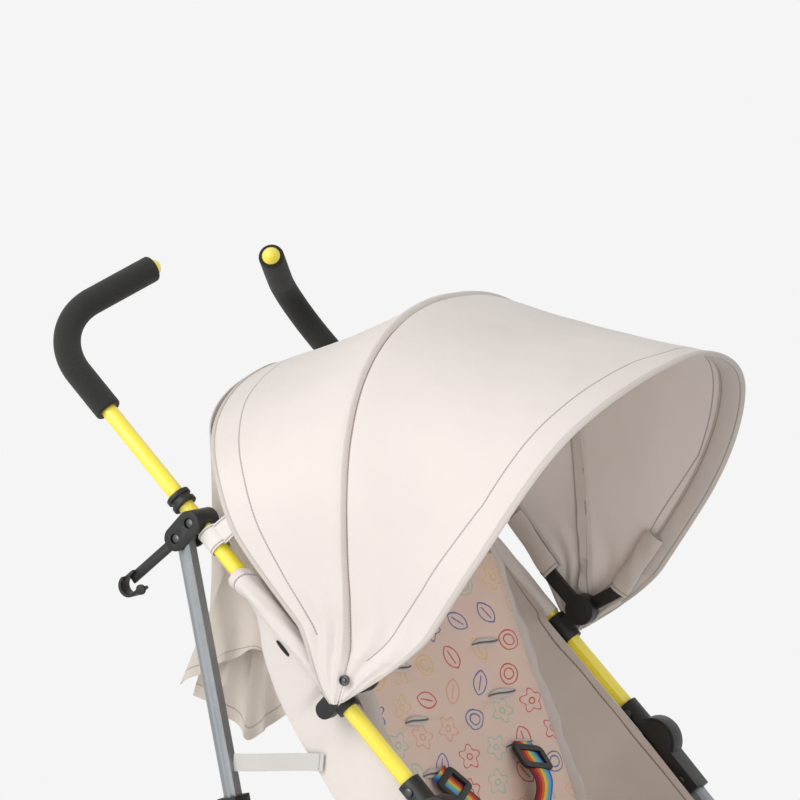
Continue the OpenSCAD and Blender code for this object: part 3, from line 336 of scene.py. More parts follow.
class Graph(Nodes):
    """A material's node graph with one principled shader."""

    def __init__(self, name: str) -> None:
        """Starts the material with its shader.

        Args:
            name: the material's name.
        """
        self.material = bpy.data.materials.new(name)
        self.material.use_nodes = True
        super().__init__(self.material.node_tree)
        self.out = self.node("ShaderNodeOutputMaterial")
        self.shader = self.node("ShaderNodeBsdfPrincipled")
        self.put(self.out.inputs["Surface"], self.shader.outputs["BSDF"])

    def place(self) -> Socket:
        """The object coordinates, in metres."""
        return self.node("ShaderNodeTexCoord").outputs["Object"]

    def cloth_map(self) -> tuple[Val, Val, Val]:
        """The cloth's own map: metres along and across."""
        return self.parts(self.node("ShaderNodeUVMap", uv_map="cloth").outputs["UV"])

    def measure(self, name: str) -> Val:
        """A number kept on the points of the piece."""
        return Val(self, self.node("ShaderNodeAttribute", attribute_name=name).outputs["Fac"])

    def noise(self, scale: float, detail: float, rough: float = 0.5) -> Val:
        """Adds noise over the object coordinates.

        Args:
            scale: the noise's scale.
            detail: how many finer layers it has.
            rough: the strength of the finer layers.

        Returns:
            The noise, from 0 to 1.
        """
        made = self.node("ShaderNodeTexNoise")
        for name, value in (("Vector", self.place()), ("Scale", scale), ("Detail", detail), ("Roughness", rough)):
            self.put(made.inputs[name], value)
        return Val(self, made.outputs["Fac"])

    def around(self, level: float, spread: float, scale: float, detail: float) -> Val:
        """Noise that spreads evenly about a level."""
        return self.noise(scale, detail) * spread + (level - spread / 2)

    def cells(self, scale: float) -> Val:
        """Measures the distance to the nearest of many scattered points.

        Args:
            scale: how many points lie on a metre.

        Returns:
            The distance.
        """
        made = self.node("ShaderNodeTexVoronoi")
        self.put(made.inputs["Vector"], self.place())
        self.put(made.inputs["Scale"], scale)
        return Val(self, made.outputs["Distance"])

    def mix(self, share: Number, first: Any, second: Any) -> Socket:
        """Mixes two colours.

        Args:
            share: the second colour's share.
            first: the first colour.
            second: the second colour.

        Returns:
            The mixed colour.
        """
        made = self.node("ShaderNodeMix", data_type="RGBA")
        for place, value in ((0, share), (6, first), (7, second)):
            self.put(made.inputs[place], value)
        return made.outputs[2]

    def drift(self, colour: Colour, scale: float, low: float, high: float) -> Socket:
        """A colour that drifts slowly between two shades of itself."""
        return self.mix(self.noise(scale, 3).smooth(0.3, 0.7), shade(colour, low), shade(colour, high))

    def bands(self, share: Val, colours: Sequence[Colour]) -> Socket:
        """Colours a number from 0 to 1 in even bands.

        Args:
            share: the number.
            colours: the bands' colours in order.

        Returns:
            The band's colour.
        """
        made = self.node("ShaderNodeValToRGB")
        ramp = made.color_ramp
        ramp.interpolation = "CONSTANT"
        ramp.elements.remove(ramp.elements[1])
        ramp.elements[0].position, ramp.elements[0].color = 0.0, colours[0]
        for k, colour in enumerate(colours[1:], 1):
            ramp.elements.new(k / len(colours)).color = colour
        self.put(made.inputs[0], share)
        return made.outputs["Color"]

    def relief(self, height: Val, depth_mm: float, strength: float) -> None:
        """Raises the surface.

        Args:
            height: the height from 0 to 1.
            depth_mm: the full height, in millimetres.
            strength: the share of the relief that shows.
        """
        bump = self.node("ShaderNodeBump")
        for name, value in (("Strength", strength), ("Distance", depth_mm * MM), ("Height", height)):
            self.put(bump.inputs[name], value)
        self.put(self.shader.inputs["Normal"], bump.outputs["Normal"])

    def set(self, **values: Any) -> None:
        """Puts values on the shader, an underscore standing for a space."""
        for key, value in values.items():
            self.put(self.shader.inputs[key.replace("_", " ")], value)


@dataclass(frozen=True)
class Coating:
    """A named finish that is laid on a material's node graph."""

    name: str

    def lay(self, g: Graph) -> None:
        """Lays the finish on the graph of a new material."""
        raise NotImplementedError

    def make(self) -> Material:
        """Builds the material.

        Returns:
            The material.
        """
        g = Graph(self.name)
        self.lay(g)
        return g.material


@dataclass(frozen=True)
class PaintFinish(Coating):
    """Sprayed or powder paint with a fine orange peel."""

    colour: Colour
    rough: float
    coat: float = 0.0
    metal: float = 0.0
    fleck: float = 0.05

    def lay(self, g: Graph) -> None:
        """Lays the finish.

        Args:
            g: the graph of a new material.
        """
        fleck = g.noise(1400, 1).smooth(0.55, 0.75) * self.fleck
        g.set(Base_Color=g.mix(fleck, g.drift(self.colour, 9, 0.95, 1.04), shade(self.colour, 1.6)),
              Roughness=g.around(self.rough, 0.12, 60, 3), Metallic=self.metal,
              Coat_Weight=self.coat, Coat_Roughness=0.3, Coat_IOR=1.7)
        g.relief(g.noise(650, 2), 0.05, 0.35)


@dataclass(frozen=True)
class PlasticFinish(Coating):
    """Moulded plastic with a fine spark-eroded grain and light scuffs."""

    colour: Colour
    rough: float = 0.46

    def lay(self, g: Graph) -> None:
        """Lays the finish.

        Args:
            g: the graph of a new material.
        """
        scuff = g.noise(110, 4, rough=0.65).smooth(0.62, 0.8)
        g.set(Base_Color=g.mix(scuff * 0.35, self.colour, shade(self.colour, 2.0)),
              Roughness=g.around(self.rough, 0.16, 35, 3))
        g.relief(g.noise(2400, 1) * 0.6 + g.cells(1500) * 0.4, 0.05, 0.5)


@dataclass(frozen=True)
class FoamFinish(Coating):
    """Closed-cell foam with open pores on its skin."""

    colour: Colour

    def lay(self, g: Graph) -> None:
        """Lays the finish.

        Args:
            g: the graph of a new material.
        """
        pore = g.cells(900)
        lump = g.noise(420, 3)
        # pores darkened to 45 %: painted shade in the pits that the relief sinks
        recess_shade = g.mix(pore.smooth(0.12, 0.42), shade(self.colour, 0.45), self.colour)
        g.set(Base_Color=g.mix(lump.smooth(0.5, 0.75) * 0.35, recess_shade, shade(self.colour, 1.7)),
              Roughness=0.92, Specular_IOR_Level=0.25, Sheen_Weight=0.12, Sheen_Roughness=0.6)
        g.relief(pore.smooth(0.05, 0.5) * 0.7 + lump * 0.5, 0.45, 0.6)


@dataclass(frozen=True)
class SteelFinish(Coating):
    """Plated steel with fine turning marks."""

    colour: Colour
    rough: float = 0.32

    def lay(self, g: Graph) -> None:
        """Lays the finish.

        Args:
            g: the graph of a new material.
        """
        g.set(Base_Color=g.mix(g.noise(160, 4), shade(self.colour, 0.8), self.colour),
              Roughness=g.around(self.rough, 0.2, 900, 2), Metallic=1.0)
        g.relief(g.noise(1800, 1), 0.03, 0.4)


@dataclass(frozen=True)
class WheelFinish(Coating):
    """A foam-rubber tyre round a moulded wheel, told apart by the distance from the axle, in metres."""

    axle_y: float
    axle_z: float
    seat: float = 0.0505
    seat_blur: float = 0.0006
    dusty: Pair = (0.061, 0.065)
    tread: Pair = (0.0625, 0.064)
    lugs: float = 60
    tyre: Colour = display(43, 43, 43)
    rim: Colour = display(74, 76, 78)

    def lay(self, g: Graph) -> None:
        """Lays the finish.

        Args:
            g: the graph of a new material.
        """
        _, y, z = g.parts(g.place())
        y, z = y - self.axle_y, z - self.axle_z
        r = (y * y + z * z).op("SQRT")
        outer = r.smooth(self.seat - self.seat_blur, self.seat + self.seat_blur)
        dust = g.noise(70, 4).smooth(0.45, 0.75) * r.smooth(*self.dusty) * 0.3
        tyre = g.mix(dust, self.tyre, shade(self.tyre, 3.2))
        g.set(Base_Color=g.mix(outer, self.rim, tyre), Roughness=outer * 0.35 + 0.48)
        tread = (z.op("ARCTAN2", y) * self.lugs).op("SINE").smooth(-0.2, 0.2) * r.smooth(*self.tread)
        g.relief(tread * 0.7 + g.noise(900, 2) * 0.3, 0.5, 0.6)


@dataclass(frozen=True)
class ClothFinish(Coating):
    """Coated plain-weave cloth with rows of stitches set from its hems, in millimetres."""

    colour: Colour
    thread: Colour
    rows: tuple[float, ...] = ()
    pitch: float = 3.4
    crumple: float = 1.0
    sheen: float = 0.18
    # a factor on the inner face's colour: above 1 it is painted light on the inside of the sheet
    lining: float = 1.0
    # the low end of the slow tone change; set low, as for the seat wings, it is painted fold shade
    drift: float = 0.965

    def lay(self, g: Graph) -> None:
        """Lays the finish.

        Args:
            g: the graph of a new material.
        """
        along, across, _ = g.cloth_map()
        weave = along.wave(YARN * MM) * across.wave(YARN * MM) * 0.5 + 0.5
        slub = g.noise(260, 3)
        # slow tone change; with a low drift factor it paints soft fold shade
        tone = g.drift(self.colour, 7, self.drift, 1.02)
        tone = g.mix(weave * slub * 0.10, tone, shade(self.colour, 0.72))
        crease = g.noise(26, 4, rough=0.55) * (0.55 * self.crumple) + g.noise(85, 3) * (0.16 * self.crumple)
        height = crease + weave * 0.03 + slub * 0.03
        # inner face painted lighter by the factor: painted light
        if self.lining != 1.0:
            tone = g.mix(g.measure("inner"), tone, shade(self.colour, self.lining))
        hem = g.measure("hem")
        dash = (along * (1000 / self.pitch)).op("FRACT").smooth(0.1, 0.2)
        for row in self.rows:
            off = abs(hem - row)
            line = 1.0 - off.smooth(0.45, 1.15)
            tone = g.mix(line * (dash * 0.45 + 0.35), tone, self.thread)
            pull = (1.0 - off.smooth(0.0, 4.0)) * (g.noise(240, 2) * 0.35 + 0.3)
            step = 1.0 - (hem - row).smooth(-0.6, 0.6)
            height = height - pull * 0.4 + line * dash * 0.12 + step * 0.12
        g.relief(height, 2.2, 0.55)
        g.set(Base_Color=tone, Roughness=0.82, Specular_IOR_Level=0.28,
              Sheen_Weight=self.sheen, Sheen_Roughness=0.45)


@dataclass(frozen=True)
class PrintFinish(Coating):
    """Cloth printed with outline blossoms, leaves and rings in a staggered layout, in millimetres."""

    base: Colour
    inks: tuple[Colour, ...]
    pitch: float = 36.0
    step: float = 33.0
    spread: float = 0.68
    blossom: Triple = (10.4, 2.4, 3.0)
    petals: float = 5.0
    leaf: Triple = (6.2, 14.0, 7.0)
    rings: Pair = (10.2, 5.6)
    shares: Pair = (0.38, 0.74)

    def lay(self, g: Graph) -> None:
        """Lays the finish.

        Args:
            g: the graph of a new material.
        """
        x, d, _ = g.parts(g.node("ShaderNodeAttribute", attribute_name="print").outputs["Vector"])
        x = x * self.spread
        row = (d / self.step).op("FLOOR")
        column = x / self.pitch + ((row * 0.5).op("FRACT") + (row * 0.37).op("FRACT") * 0.24)
        where = g.node("ShaderNodeCombineXYZ")
        g.put(where.inputs[0], column.op("FLOOR"))
        g.put(where.inputs[1], row)
        dice = g.node("ShaderNodeTexWhiteNoise", noise_dimensions="2D")
        g.put(dice.inputs["Vector"], where.outputs[0])
        pick = Val(g, dice.outputs["Value"])
        turn, ink, _ = g.parts(dice.outputs["Color"])
        a = (column.op("FRACT") - 0.5) * self.pitch
        b = ((d / self.step).op("FRACT") - 0.5) * self.step
        c, s = (turn * TURN).op("COSINE"), (turn * TURN).op("SINE")
        line = self.outline(pick, a * c - b * s, a * s + b * c)
        weave = x.wave(YARN) * d.wave(YARN) * 0.5 + 0.5
        tone = g.mix(weave * 0.06, g.drift(self.base, 8, 0.95, 1.03), shade(self.base, 0.7))
        g.set(Base_Color=g.mix((1.0 - line.smooth(0.45, 1.0)) * 0.86, tone, g.bands(ink, self.inks)),
              Roughness=0.84, Specular_IOR_Level=0.25, Sheen_Weight=0.15, Sheen_Roughness=0.5)
        g.relief(g.noise(24, 4) * 0.5 + g.noise(90, 3) * 0.15 + weave * 0.03, 2.0, 0.5)

    def outline(self, pick: Val, px: Val, py: Val) -> Val:
        """Measures how far a point lies from the outline of its motif.

        Args:
            pick: the number from 0 to 1 that chooses the motif.
            px: the point's place across the motif.
            py: the point's place along the motif.

        Returns:
            The distance from the nearest line.
        """
        r = (px * px + py * py).op("SQRT")
        size, lobe, eye = self.blossom
        lobes = (py.op("ARCTAN2", px) * self.petals).op("COSINE")
        blossom = abs(r - (lobes * lobe + size)).op("MINIMUM", abs(r - eye))
        apart, bow, vein = self.leaf
        left, right = px + apart, px - apart
        oval = (left * left + py * py).op("SQRT").op("MAXIMUM", (right * right + py * py).op("SQRT"))
        leaf = abs(oval - bow).op("MINIMUM", abs(px).op("MAXIMUM", abs(py) - vein))
        ring = abs(r - self.rings[0]).op("MINIMUM", abs(r - self.rings[1]))
        first, last = pick.op("LESS_THAN", self.shares[0]), pick.op("GREATER_THAN", self.shares[1])
        return blossom * first + leaf * (1.0 - first - last) + ring * last


@dataclass(frozen=True)
class WebbingFinish(Coating):
    """Woven webbing: bands across its width, ribs along it, and a sewn end, in millimetres."""

    bands: tuple[Colour, ...]
    width: float
    rib: float = 1.5
    zigzag: float = 1.9
    yarn: float = 1.1
    seam_at: float = 4.0
    stitch: float = 3.2

    def lay(self, g: Graph) -> None:
        """Lays the finish.

        Args:
            g: the graph of a new material.
        """
        along, across, _ = g.cloth_map()
        tone = g.bands(across / (self.width * MM), self.bands) if len(self.bands) > 1 else self.bands[0]
        rib = (along * (TURN / (self.rib * MM)) + across.wave(self.zigzag * MM) * 1.2).op("SINE")
        height = rib * 0.3 + across.wave(self.yarn * MM) * 0.2 + 0.5
        # a tone 55 % of the way to black, for the painted shade between the ribs and for the sewn end's stitches
        recess_shade = g.mix(0.55, tone, (0.0, 0.0, 0.0, 1.0))
        seam = 1.0 - abs(g.measure("hem") - self.seam_at).smooth(0.5, 1.1)
        seam = seam * (across * (1 / (self.stitch * MM))).op("FRACT").smooth(0.15, 0.3)
        # darker where the ribs' height is low: painted shade in the grooves
        groove_shaded = g.mix(height.smooth(0.75, 0.1) * 0.4, tone, recess_shade)
        g.set(Base_Color=g.mix(seam * 0.7, groove_shaded, recess_shade), Roughness=0.68, Specular_IOR_Level=0.35,
              Sheen_Weight=0.2, Sheen_Roughness=0.4)
        g.relief(height + g.noise(700, 2) * 0.2 - seam * 0.6, 0.35, 0.7)


CLOTH_LIGHT = display(226, 218, 212)
# the outer panels' greige made darker and a little pinker for the seat wings and footrest: partly the cloth's own
# taupe, partly painted shade
CLOTH_SEAT_SHADED = display(203, 190, 180)
THREAD = display(150, 142, 138)
RAINBOW_BANDS = (display(118, 18, 26), display(196, 34, 36), display(233, 112, 34), display(249, 208, 62),
                 display(128, 200, 178), display(84, 176, 224), display(46, 104, 196))
INKS = (display(58, 92, 170), display(206, 58, 64), display(230, 192, 116), display(150, 200, 184),
        display(229, 160, 130))


class Finish(Enum):
    """The finishes of the stroller, one for each material slot or trim."""

    YELLOW = PaintFinish("yellow_powder_paint", display(253, 231, 44), 0.3, coat=1.0, fleck=0.0)
    LEG = PaintFinish("grey_leg_paint", display(140, 144, 147), 0.36, metal=0.6, fleck=0.4)
    BRACE = PaintFinish("grey_brace_paint", display(104, 108, 112), 0.45, metal=0.3, fleck=0.5)
    FOAM = FoamFinish("handle_foam", display(41, 41, 39))
    PLASTIC = PlasticFinish("black_moulded_plastic", display(26, 25, 24))
    STEEL = SteelFinish("plated_steel", display(196, 197, 200))
    # frame rivet steel made much darker than the plated steel: painted shade of the recesses they sit in
    RIVET = SteelFinish("sunk_rivet_steel", display(96, 97, 98), 0.3)
    DARK_STEEL = SteelFinish("dark_snap_steel", display(112, 110, 108), 0.35)
    # the factor 1.08 paints the hood's inner face lighter: painted light
    # the row at 50 lies in the ditch beside the middle seam's piping; its darker line is painted shadow of the crease
    HOOD = ClothFinish("hood_weave", CLOTH_LIGHT, THREAD, (28.0, 50.0), crumple=1.3, lining=1.08)
    RIM = ClothFinish("hood_rim_cloth", display(208, 199, 191), THREAD, (3.5,), crumple=0.6)
    # drift 0.88 darkens the wings in slow patches: painted fold shade
    SEAT = ClothFinish("seat_wing_cloth", CLOTH_SEAT_SHADED, display(112, 102, 95), (7.0,), crumple=1.5, drift=0.88)
    OUTER = ClothFinish("seat_side_cloth", CLOTH_LIGHT, THREAD, (7.0,), crumple=1.2)
    FLAP = ClothFinish("curtain_cloth", display(212, 201, 190), THREAD, (13.0,), crumple=1.5)
    BINDING = ClothFinish("seam_binding", display(205, 197, 190), THREAD, (2.0,), crumple=0.5)
    LOOP = ClothFinish("loop_cloth", display(232, 226, 221), THREAD, (2.0,), crumple=0.6)
    # the near-black thread colour at row 0 draws a line down the middle of each slot: painted shade of the slit's
    # opening
    LIP = ClothFinish("slot_lip_cloth", display(212, 202, 196), display(38, 35, 34), (0.0,), crumple=0.5)
    BASKET = ClothFinish("basket_cloth", display(176, 164, 154), THREAD, (9.0,), crumple=1.2)
    # near-black sheet laid over the slits in the outer side panels: painted shade for the hollow of each opening
    DARK = ClothFinish("slit_lining", display(44, 42, 40), THREAD)
    PRINT = PrintFinish("printed_seat_cloth", display(232, 206, 191), INKS)
    RAINBOW = WebbingFinish("rainbow_weave", RAINBOW_BANDS, 30.0)
    STRAP = WebbingFinish("strap_weave", (display(216, 212, 208),), 17.0, 2.2)

    @property
    def material(self) -> Material:
        """The finish's material, made at its first use."""
        return bpy.data.materials.get(self.value.name) or self.value.make()


class Bench:
    """Modelling steps that the pieces share."""

    frame: dict[str, Any] = {}
    body_of_node: dict[str, str] = {}

    @classmethod
    def load(cls) -> None:
        """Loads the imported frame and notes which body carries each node."""
        cls.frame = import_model()
        for body, nodes in cls.frame["record"]["behaviour"]["bodies"].items():
            for node in nodes:
                cls.body_of_node[node] = body

    @staticmethod
    def mode(name: str) -> None:
        """Goes to edit mode or object mode."""
        bpy.ops.object.mode_set(mode=name)

    @staticmethod
    def clear() -> None:
        """Leaves edit mode and deselects everything."""
        active = bpy.context.view_layer.objects.active
        if active is not None and active.mode != "OBJECT":
            Bench.mode("OBJECT")
        bpy.ops.object.select_all(action="DESELECT")

    @staticmethod
    def pick(obj: Object) -> None:
        """Makes one object the only selected and active one.

        Args:
            obj: the object.
        """
        Bench.clear()
        obj.select_set(True)
        bpy.context.view_layer.objects.active = obj

    @staticmethod
    def named(name: str) -> Object:
        """Names the object that was just added, and its mesh.

        Args:
            name: the piece's name.

        Returns:
            The object.
        """
        obj = bpy.context.object
        obj.name = obj.data.name = name
        return obj

    @staticmethod
    def modify(obj: Object, kind: str, **settings: Any) -> None:
        """Adds a modifier to an object and applies it.

        Args:
            obj: the object.
            kind: the modifier's type.
            settings: properties to set on it.
        """
        Bench.pick(obj)
        bpy.ops.object.modifier_add(type=kind)
        made = obj.modifiers[-1]
        for key, value in settings.items():
            setattr(made, key, value)
        bpy.ops.object.modifier_apply(modifier=made.name)

    @staticmethod
    def bevel(obj: Object, width: float, steps: int, angle: float) -> None:
        """Rounds the edges sharper than an angle in degrees, by a width in millimetres."""
        Bench.modify(obj, "BEVEL", width=width * MM, segments=steps, limit_method="ANGLE",
                     angle_limit=math.radians(angle), use_clamp_overlap=True)

    @staticmethod
    def smooth(obj: Object, angle: float) -> None:
        """Shades an object smooth below an angle in degrees."""
        Bench.pick(obj)
        bpy.ops.object.shade_smooth_by_angle(angle=math.radians(angle))

    @staticmethod
    def paint(obj: Object, finish: Dressing, slot: str) -> None:
        """Gives an object its one material.

        Args:
            obj: the object.
            finish: its finish, or a ready material.
            slot: the record's material slot; not used.
        """
        obj.data.materials.clear()
        obj.data.materials.append(finish.material if isinstance(finish, Finish) else finish)

    @staticmethod
    def spots(obj: Object) -> Points:
        """The places of an object's points, in metres."""
        return np.array([v.co[:] for v in obj.data.vertices])

    @staticmethod
    def move(obj: Object, spots: Points) -> None:
        """Moves an object's points to new places, in metres."""
        obj.data.vertices.foreach_set("co", spots.astype(np.float32).ravel())
        obj.data.update()

    @staticmethod
    def mark(obj: Object, name: str, values: Points) -> None:
        """Keeps a number on each point of an object."""
        layer = obj.data.attributes.new(name, "FLOAT", "POINT")
        layer.data.foreach_set("value", values.astype(np.float32))

    @staticmethod
    def sheet(name: str, points: Points, finish: Finish, slot: str, hem: Optional[Points] = None,
              thick: float = 1.2, flip: bool = False, angle: float = 60,
              normals: Optional[Points] = None) -> Object:
        """Makes a cloth sheet from a grid of points.

        Args:
            name: the piece's name.
            points: rows and columns of points, in millimetres.
            finish: the sheet's finish.
            slot: the record's material slot.
            hem: the distance of each point from its hem, in millimetres.
            thick: the sheet's thickness, laid under the points, in millimetres.
            flip: True where the grid's faces point inwards.
            angle: the angle below which edges are shaded smooth.
            normals: the shading normals of the points, where they come from a larger sheet.

        Returns:
            The new object.
        """
        rows, cols = points.shape[:2]
        Bench.clear()
        bpy.ops.mesh.primitive_grid_add(x_subdivisions=cols - 1, y_subdivisions=rows - 1, size=1.0, calc_uvs=True)
        obj = Bench.named(name)
        mesh = obj.data
        spots = Bench.spots(obj)
        i = np.rint((spots[:, 1] + 0.5) * (rows - 1)).astype(int)
        j = np.rint((spots[:, 0] + 0.5) * (cols - 1)).astype(int)
        corner = np.empty(len(mesh.loops), np.int32)
        mesh.loops.foreach_get("vertex_index", corner)
        flat = np.stack([run_along(points, 1), run_along(points, 0)], -1)[i, j][corner] * MM
        mesh.uv_layers[0].data.foreach_set("uv", flat.astype(np.float32).ravel())
        mesh.uv_layers[0].name = "cloth"
        Bench.mark(obj, "hem", np.broadcast_to(NO_HEM if hem is None else hem, (rows, cols))[i, j])
        Bench.move(obj, points[i, j] * MM)
        if flip:
            Bench.mode("EDIT")
            bpy.ops.mesh.select_all(action="SELECT")
            bpy.ops.mesh.flip_normals()
            Bench.mode("OBJECT")
        if thick:
            Bench.modify(obj, "SOLIDIFY", thickness=thick * MM, offset=-1.0, use_rim=True)
        Bench.mark(obj, "inner", np.arange(len(obj.data.vertices)) >= rows * cols)
        Bench.smooth(obj, angle)
        if normals is not None:
            own = normals[i, j]
            obj.data.normals_split_custom_set_from_vertices([tuple(n) for n in np.concatenate([own, -own])])
        Bench.paint(obj, finish, slot)
        return obj

    @staticmethod
    def eased(node: str, width: float, finish: Dressing, slot: str,
              steps: int = 2) -> Object:
        """Makes a copy of a hard CAD node with its sharp edges rounded, which then stands for the node.

        Args:
            node: the CAD node's name.
            width: the rounding's width, in millimetres.
            finish: the copy's finish.
            slot: the record's material slot.
            steps: segments of the rounding.

        Returns:
            The new object, riding on the node's body.
        """
        Bench.clear()
        obj = bpy.data.objects.new(node + "_finished", Bench.frame["nodes"][node].data.copy())
        bpy.context.collection.objects.link(obj)
        Bench.pick(obj)
        bpy.ops.mesh.customdata_custom_splitnormals_clear()
        Bench.mode("EDIT")
        bpy.ops.mesh.select_all(action="SELECT")
        bpy.ops.mesh.remove_doubles(threshold=0.03 * MM)
        bpy.ops.mesh.dissolve_limited(angle_limit=math.radians(0.8))
        Bench.mode("OBJECT")
        Bench.bevel(obj, width, steps, 34)
        Bench.smooth(obj, 36)
        Bench.paint(obj, finish, slot)
        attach(obj, Bench.body_of_node[node])
        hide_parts(node)
        return obj

    @staticmethod
    def narrows(obj: Object, cover: Cover) -> None:
        """Gives a piece its own copy of its mesh."""
        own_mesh(obj)

    @staticmethod
    def folds(obj: Object, body: str = "right_frame", cover: Cover = Cover.SEAT) -> None:
        """Lets a cloth piece ride on a body, with its own copy of its mesh."""
        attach(obj, body)
        Bench.narrows(obj, cover)

    @staticmethod
    def cloth(obj: Object, width: float, held: str, on: Sequence[str]) -> None:
        """Divides one face's area of a sheet of cloth by a width in metres, and keeps nothing.

        Args:
            obj: the sheet, whose two faces have the same area.
            width: its flat width, in metres.
            held: how it is held; not used.
            on: the nodes that it rests on; not used.
        """
        one_face = sum(p.area for p in obj.data.polygons) / 2
        one_face / width


@dataclass
class FrameLines:
    """Centre lines of the tubes and legs, in millimetres."""

    half: float = 220.0
    clip_back: float = 58.5
    clip_height: float = 611.96
    slope: float = math.radians(44.2)
    front: float = math.radians(46.0)
    lean: float = math.radians(12.3)
    knuckle: float = -136.6
    hinge: Pair = (244.67, 761.90)

    def along(self, s: Points, n: Points = 0.0, x: Points = 0.0) -> Points:
        """Gives a point beside the push tube.

        Args:
            s: the distance up the tube from the hood clip.
            n: the distance in front of the tube.
            x: the side offset.

        Returns:
            The point.
        """
        s, n, x = np.broadcast_arrays(np.asarray(s, float), np.asarray(n, float), np.asarray(x, float))
        ct, st = math.cos(self.slope), math.sin(self.slope)
        return np.stack([x, self.clip_back + s * ct - n * st, self.clip_height + s * st + n * ct], -1)

    def front_leg(self, d: Points) -> Points:
        """A point at a distance down the front leg."""
        ahead = np.array([0.0, -math.cos(self.front), -math.sin(self.front)])
        return self.along(self.knuckle) + np.asarray(d, float)[..., None] * ahead


@dataclass
class Studio:
    """Camera, floor, background and lamps, in metres."""

    camera_at: Triple = (-3.0115, -1.6693, 1.2517)
    heading: float = math.radians(30.95)
    dip: float = math.radians(6.05)
    lens: float = 160.27
    sensor: float = 36.0
    view_end: float = 60.0
    pale: float = 0.912
    ambient: float = 0.60
    floor_size: float = 24.0
    floor_grey: float = 0.86
    floor_fade: Pair = (0.7, 1.7)
    lamp_aim: Triple = (0, 0.03, 0.75)

    def build(self) -> None:
        """Builds the whole set."""
        self.camera()
        self.floor()
        self.world()
        self.lamp("key_lamp", (-2.6, 1.2, 2.8), 2.2, 58)
        self.lamp("low_lamp", (-2.0, -2.4, 0.35), 1.8, 22)
        self.lamp("side_lamp", (-3.0, 1.2, 0.8), 0.7, 10)
        bpy.context.scene.view_settings.view_transform = "Standard"

    def camera(self) -> None:
        """Sets the camera at the fitted place and angle."""
        data = bpy.data.cameras.new("camera")
        data.lens, data.sensor_width, data.clip_end = self.lens, self.sensor, self.view_end
        cam = bpy.data.objects.new("camera", data)
        bpy.context.collection.objects.link(cam)
        east, north = math.cos(self.heading), math.sin(self.heading)
        right = Vector((north, -east, 0))
        ahead = Vector((east * math.cos(self.dip), north * math.cos(self.dip), -math.sin(self.dip)))
        turned = Matrix((right, right.cross(ahead), -ahead)).transposed().to_4x4()
        cam.matrix_world = Matrix.Translation(self.camera_at) @ turned
        bpy.context.scene.camera = cam

    def floor(self) -> None:
        """Lays a pale floor that keeps the shadow and fades into the background."""
        Bench.clear()
        bpy.ops.mesh.primitive_grid_add(x_subdivisions=8, y_subdivisions=8, size=self.floor_size)
        floor = bpy.context.object
        floor.name = "studio_floor"
        g = Graph("studio_floor")
        x, y, _ = g.parts(g.place())
        far = (x * x + y * y).op("SQRT").smooth(*self.floor_fade)
        light = g.node("ShaderNodeEmission")
        g.put(light.inputs["Color"], (self.pale, self.pale, self.pale, 1))
        g.put(light.inputs["Strength"], 1.0)
        mix = g.node("ShaderNodeMixShader")
        for place, value in enumerate((far * g.seen(), g.shader.outputs["BSDF"], light.outputs[0])):
            g.put(mix.inputs[place], value)
        g.put(g.out.inputs["Surface"], mix.outputs[0])
        grey = (self.floor_grey, self.floor_grey, self.floor_grey, 1)
        g.set(Base_Color=grey, Roughness=0.95, Specular_IOR_Level=0.1)
        floor.data.materials.append(g.material)
        floor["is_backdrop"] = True

    def world(self) -> None:
        """Sets the pale background and the soft light that comes from all sides."""
        world = bpy.data.worlds.new("studio")
        bpy.context.scene.world = world
        world.use_nodes = True
        nodes = Nodes(world.node_tree)
        out = nodes.node("ShaderNodeOutputWorld")
        back = nodes.node("ShaderNodeBackground")
        level = nodes.node("ShaderNodeMapRange")
        for name, value in (("Value", nodes.seen()), ("To Min", self.ambient), ("To Max", self.pale)):
            nodes.put(level.inputs[name], value)
        nodes.put(back.inputs["Color"], (1, 1, 1, 1))
        nodes.put(back.inputs["Strength"], level.outputs["Result"])
        nodes.put(out.inputs["Surface"], back.outputs[0])

    def lamp(self, name: str, at: Triple, size: float, power: float) -> None:
        """Adds a soft square lamp that faces the hood.

        Args:
            name: the lamp's name.
            at: its place.
            size: the length of its side.
            power: its power, in watts.
        """
        data = bpy.data.lights.new(name, "AREA")
        data.size, data.energy = size, power
        obj = bpy.data.objects.new(name, data)
        bpy.context.collection.objects.link(obj)
        obj.location = at
        obj.rotation_euler = (Vector(self.lamp_aim) - Vector(at)).to_track_quat("-Z", "Y").to_euler()


